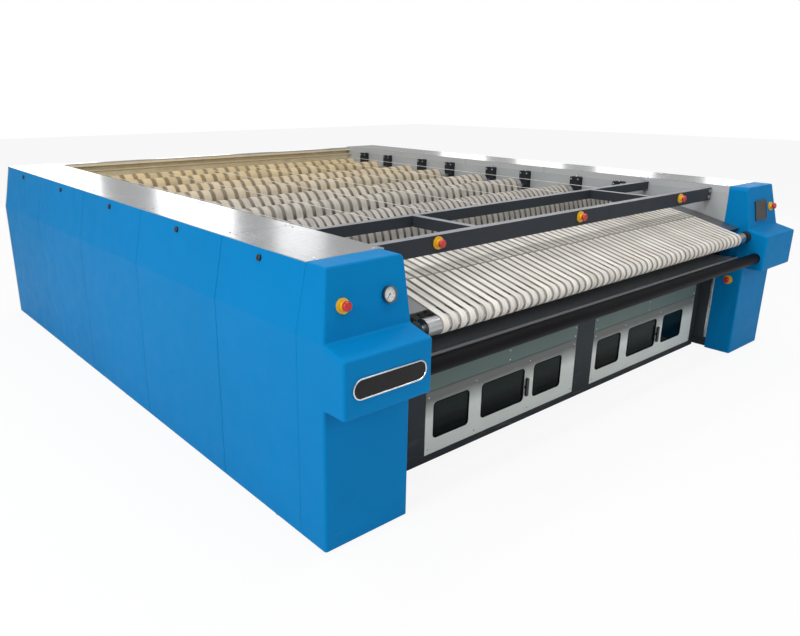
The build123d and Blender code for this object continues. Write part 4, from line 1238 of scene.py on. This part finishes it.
# %% Rear strips, screws and louvres
rear_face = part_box("rear_cover")[1].y
strips = []
places = []
runs = [(sign * wall_x, 0.10, 1.235) for sign in (-1.0, 1.0)]
runs += [(x, low, high) for x in (-0.55, 0.55) for low, high in ((0.10, 0.765), (0.975, 1.235))]
for x, low, high in runs:
    bpy.ops.mesh.primitive_cube_add(size=1.0, location=(x, rear_face + 0.0005, (low + high) / 2))
    strip = bpy.context.object
    strip.scale = (0.040, 0.0010, high - low)
    bpy.ops.object.transform_apply(location=True, scale=True)
    begin_edit()
    faces_where(lambda middle, normal: normal.y > 0.9)
    bpy.ops.mesh.inset(thickness=0.005)
    push((0, 0.0008, 0))
    bpy.ops.object.mode_set(mode="OBJECT")
    round_edges(strip, 0.0003)
    strips.append(strip)
    count = max(2, round((high - low - 0.06) / 0.16) + 1)
    for number in range(count):
        z = low + 0.03 + (high - low - 0.06) * number / (count - 1)
        for shift in (-0.010, 0.010):
            places.append(((x + shift, rear_face + 0.0017, z), (0.0, 1.0, 0.0), z * 900.0 + shift * 500.0))
piece = settle(joined(strips), "rear_joint_strips", rim_metal, "frame")
for x in [k * 0.275 for k in range(-5, 6)]:
    if abs(abs(x) - 0.55) > 0.1:
        for z in (0.762, 0.978):
            places.append(((x, rear_face, z), (0.0, 1.0, 0.0), x * 311.0))
piece = copies(sheet_screw, places, "rear_screws", turned_steel, "frame")

bpy.ops.mesh.primitive_cube_add(size=1.0, location=(0.0, 0.003, 0.0))
louvre = bpy.context.object
louvre.scale = (0.250, 0.006, 0.018)
bpy.ops.object.transform_apply(location=True, scale=True)
louvre.data.materials.append(pipe_steel)
louvre.data.materials.append(black_plastic)
begin_edit("VERT")
points_where(lambda point: point.y > 0.001 and point.z > 0.0)
bpy.ops.transform.translate(value=(0, -0.0056, 0))
points_where(lambda point: point.y > 0.001)
bpy.ops.transform.resize(value=(0.965, 1.0, 1.0))
bpy.ops.mesh.select_mode(type="FACE")
faces_where(lambda middle, normal: normal.z < -0.9)
bpy.ops.mesh.inset(thickness=0.0007)
bpy.context.object.active_material_index = 1
bpy.ops.object.material_slot_assign()
bpy.ops.object.mode_set(mode="OBJECT")
places = []
for sign in (-1.0, 1.0):
    for number in range(12):
        places.append(((sign * 1.890, rear_face, 0.24 + 0.028 * number), (0.0, 0.0, 1.0), 0.0))
piece = copies(louvre, places, "rear_louvres", None, "frame")
put_away(louvre, sheet_screw, large_bolt, small_bolt, nipple, joint, arrow)

# %% [markdown]
# ## Floor and light
#
# The floor and the far background are white for the camera and in reflections only, so the
# whiteness puts no extra light on the machine. One large lamp stands on the left, as in the
# photograph, where the left flank is the brightest blue and the front faces are darker. Three
# long lamps hang overhead. The stainless covers mirror the hall's windows, which stand behind the
# machine and on its right: each is an area lamp that the camera can't see, and its place and
# width were worked out from where the bright bands begin and end on the covers.

# %% White floor and world
bpy.ops.mesh.primitive_plane_add(size=60.0)
floor = bpy.context.object
floor.name = "floor"
white_floor = bpy.data.materials.new("white_floor")
white_floor.use_nodes = True
white_floor.node_tree.nodes.clear()
start = Signal(white_floor.node_tree)
path = start.make("LightPath", {}, {}, "Is Camera Ray")
matt = start.make("BsdfDiffuse", {}, {"Color": colour(0.86, 0.86, 0.86)})
glow = start.make("Emission", {}, {"Color": colour(1.0, 1.0, 1.0), "Strength": 1.0})
seen = start.make("MixShader", {}, {"Fac": path * 0.90, 1: matt, 2: glow})
start.make("OutputMaterial", {}, {"Surface": seen})
floor.data.materials.append(white_floor)

world = bpy.data.worlds.new("pale_room")
bpy.context.scene.world = world
world.use_nodes = True
world.node_tree.nodes.clear()
sky = Signal(world.node_tree)
eye = sky.make("LightPath", {}, {}, "Is Camera Ray")
gloss = sky.make("LightPath", {}, {}, "Is Glossy Ray")
through = sky.make("LightPath", {}, {}, "Is Transmission Ray")
direct = eye.maths("MAXIMUM", eye, through)
strength = direct * 0.64 + 0.36 + gloss * 0.12
room = sky.make("Background", {}, {"Color": colour(1.0, 1.0, 1.0), "Strength": strength})
sky.make("OutputWorld", {}, {"Surface": room})


def lamp(name, place, target, wide, deep, watts):
    """An area lamp that looks at a target."""
    bpy.ops.object.light_add(type="AREA", location=place)
    made = bpy.context.object
    made.name = name
    made.data.shape = "RECTANGLE"
    made.data.size = wide
    made.data.size_y = deep
    made.data.energy = watts
    made.rotation_euler = (Vector(target) - Vector(place)).to_track_quat("-Z", "Y").to_euler()
    return made


lamp("key_left", (-9.0, -2.0, 5.0), (-1.0, 0.0, 0.6), 6.0, 4.0, 470.0)
lamp("fill_front", (1.0, -9.0, 4.5), (0.0, 0.0, 0.6), 6.0, 3.0, 130.0)
for number, (station, watts) in enumerate(((-3.2, 115.0), (0.2, 75.0), (3.6, 75.0))):
    lamp(f"ceiling_{number + 1}", (0.0, station, 6.0), (0.0, station, 0.0), 7.0, 0.5, watts)
panes = ((0.10, 2.00, 30.0), (3.06, 1.72, 30.0), (5.66, 1.36, 18.0))
for number, (x, wide, watts) in enumerate(panes):
    window = lamp(f"back_window_{number + 1}", (x, 9.0, 2.6), (x, 0.0, 2.6), wide, 5.0, watts * wide)
    window.visible_camera = False
for number, (y, wide) in enumerate(((7.1, 1.4), (4.95, 1.2), (3.0, 1.2), (0.7, 1.5))):
    window = lamp(f"side_window_{number + 1}", (9.0, y, 2.6), (0.0, y, 2.6), wide, 4.0, 19.0 * wide)
    window.visible_camera = False
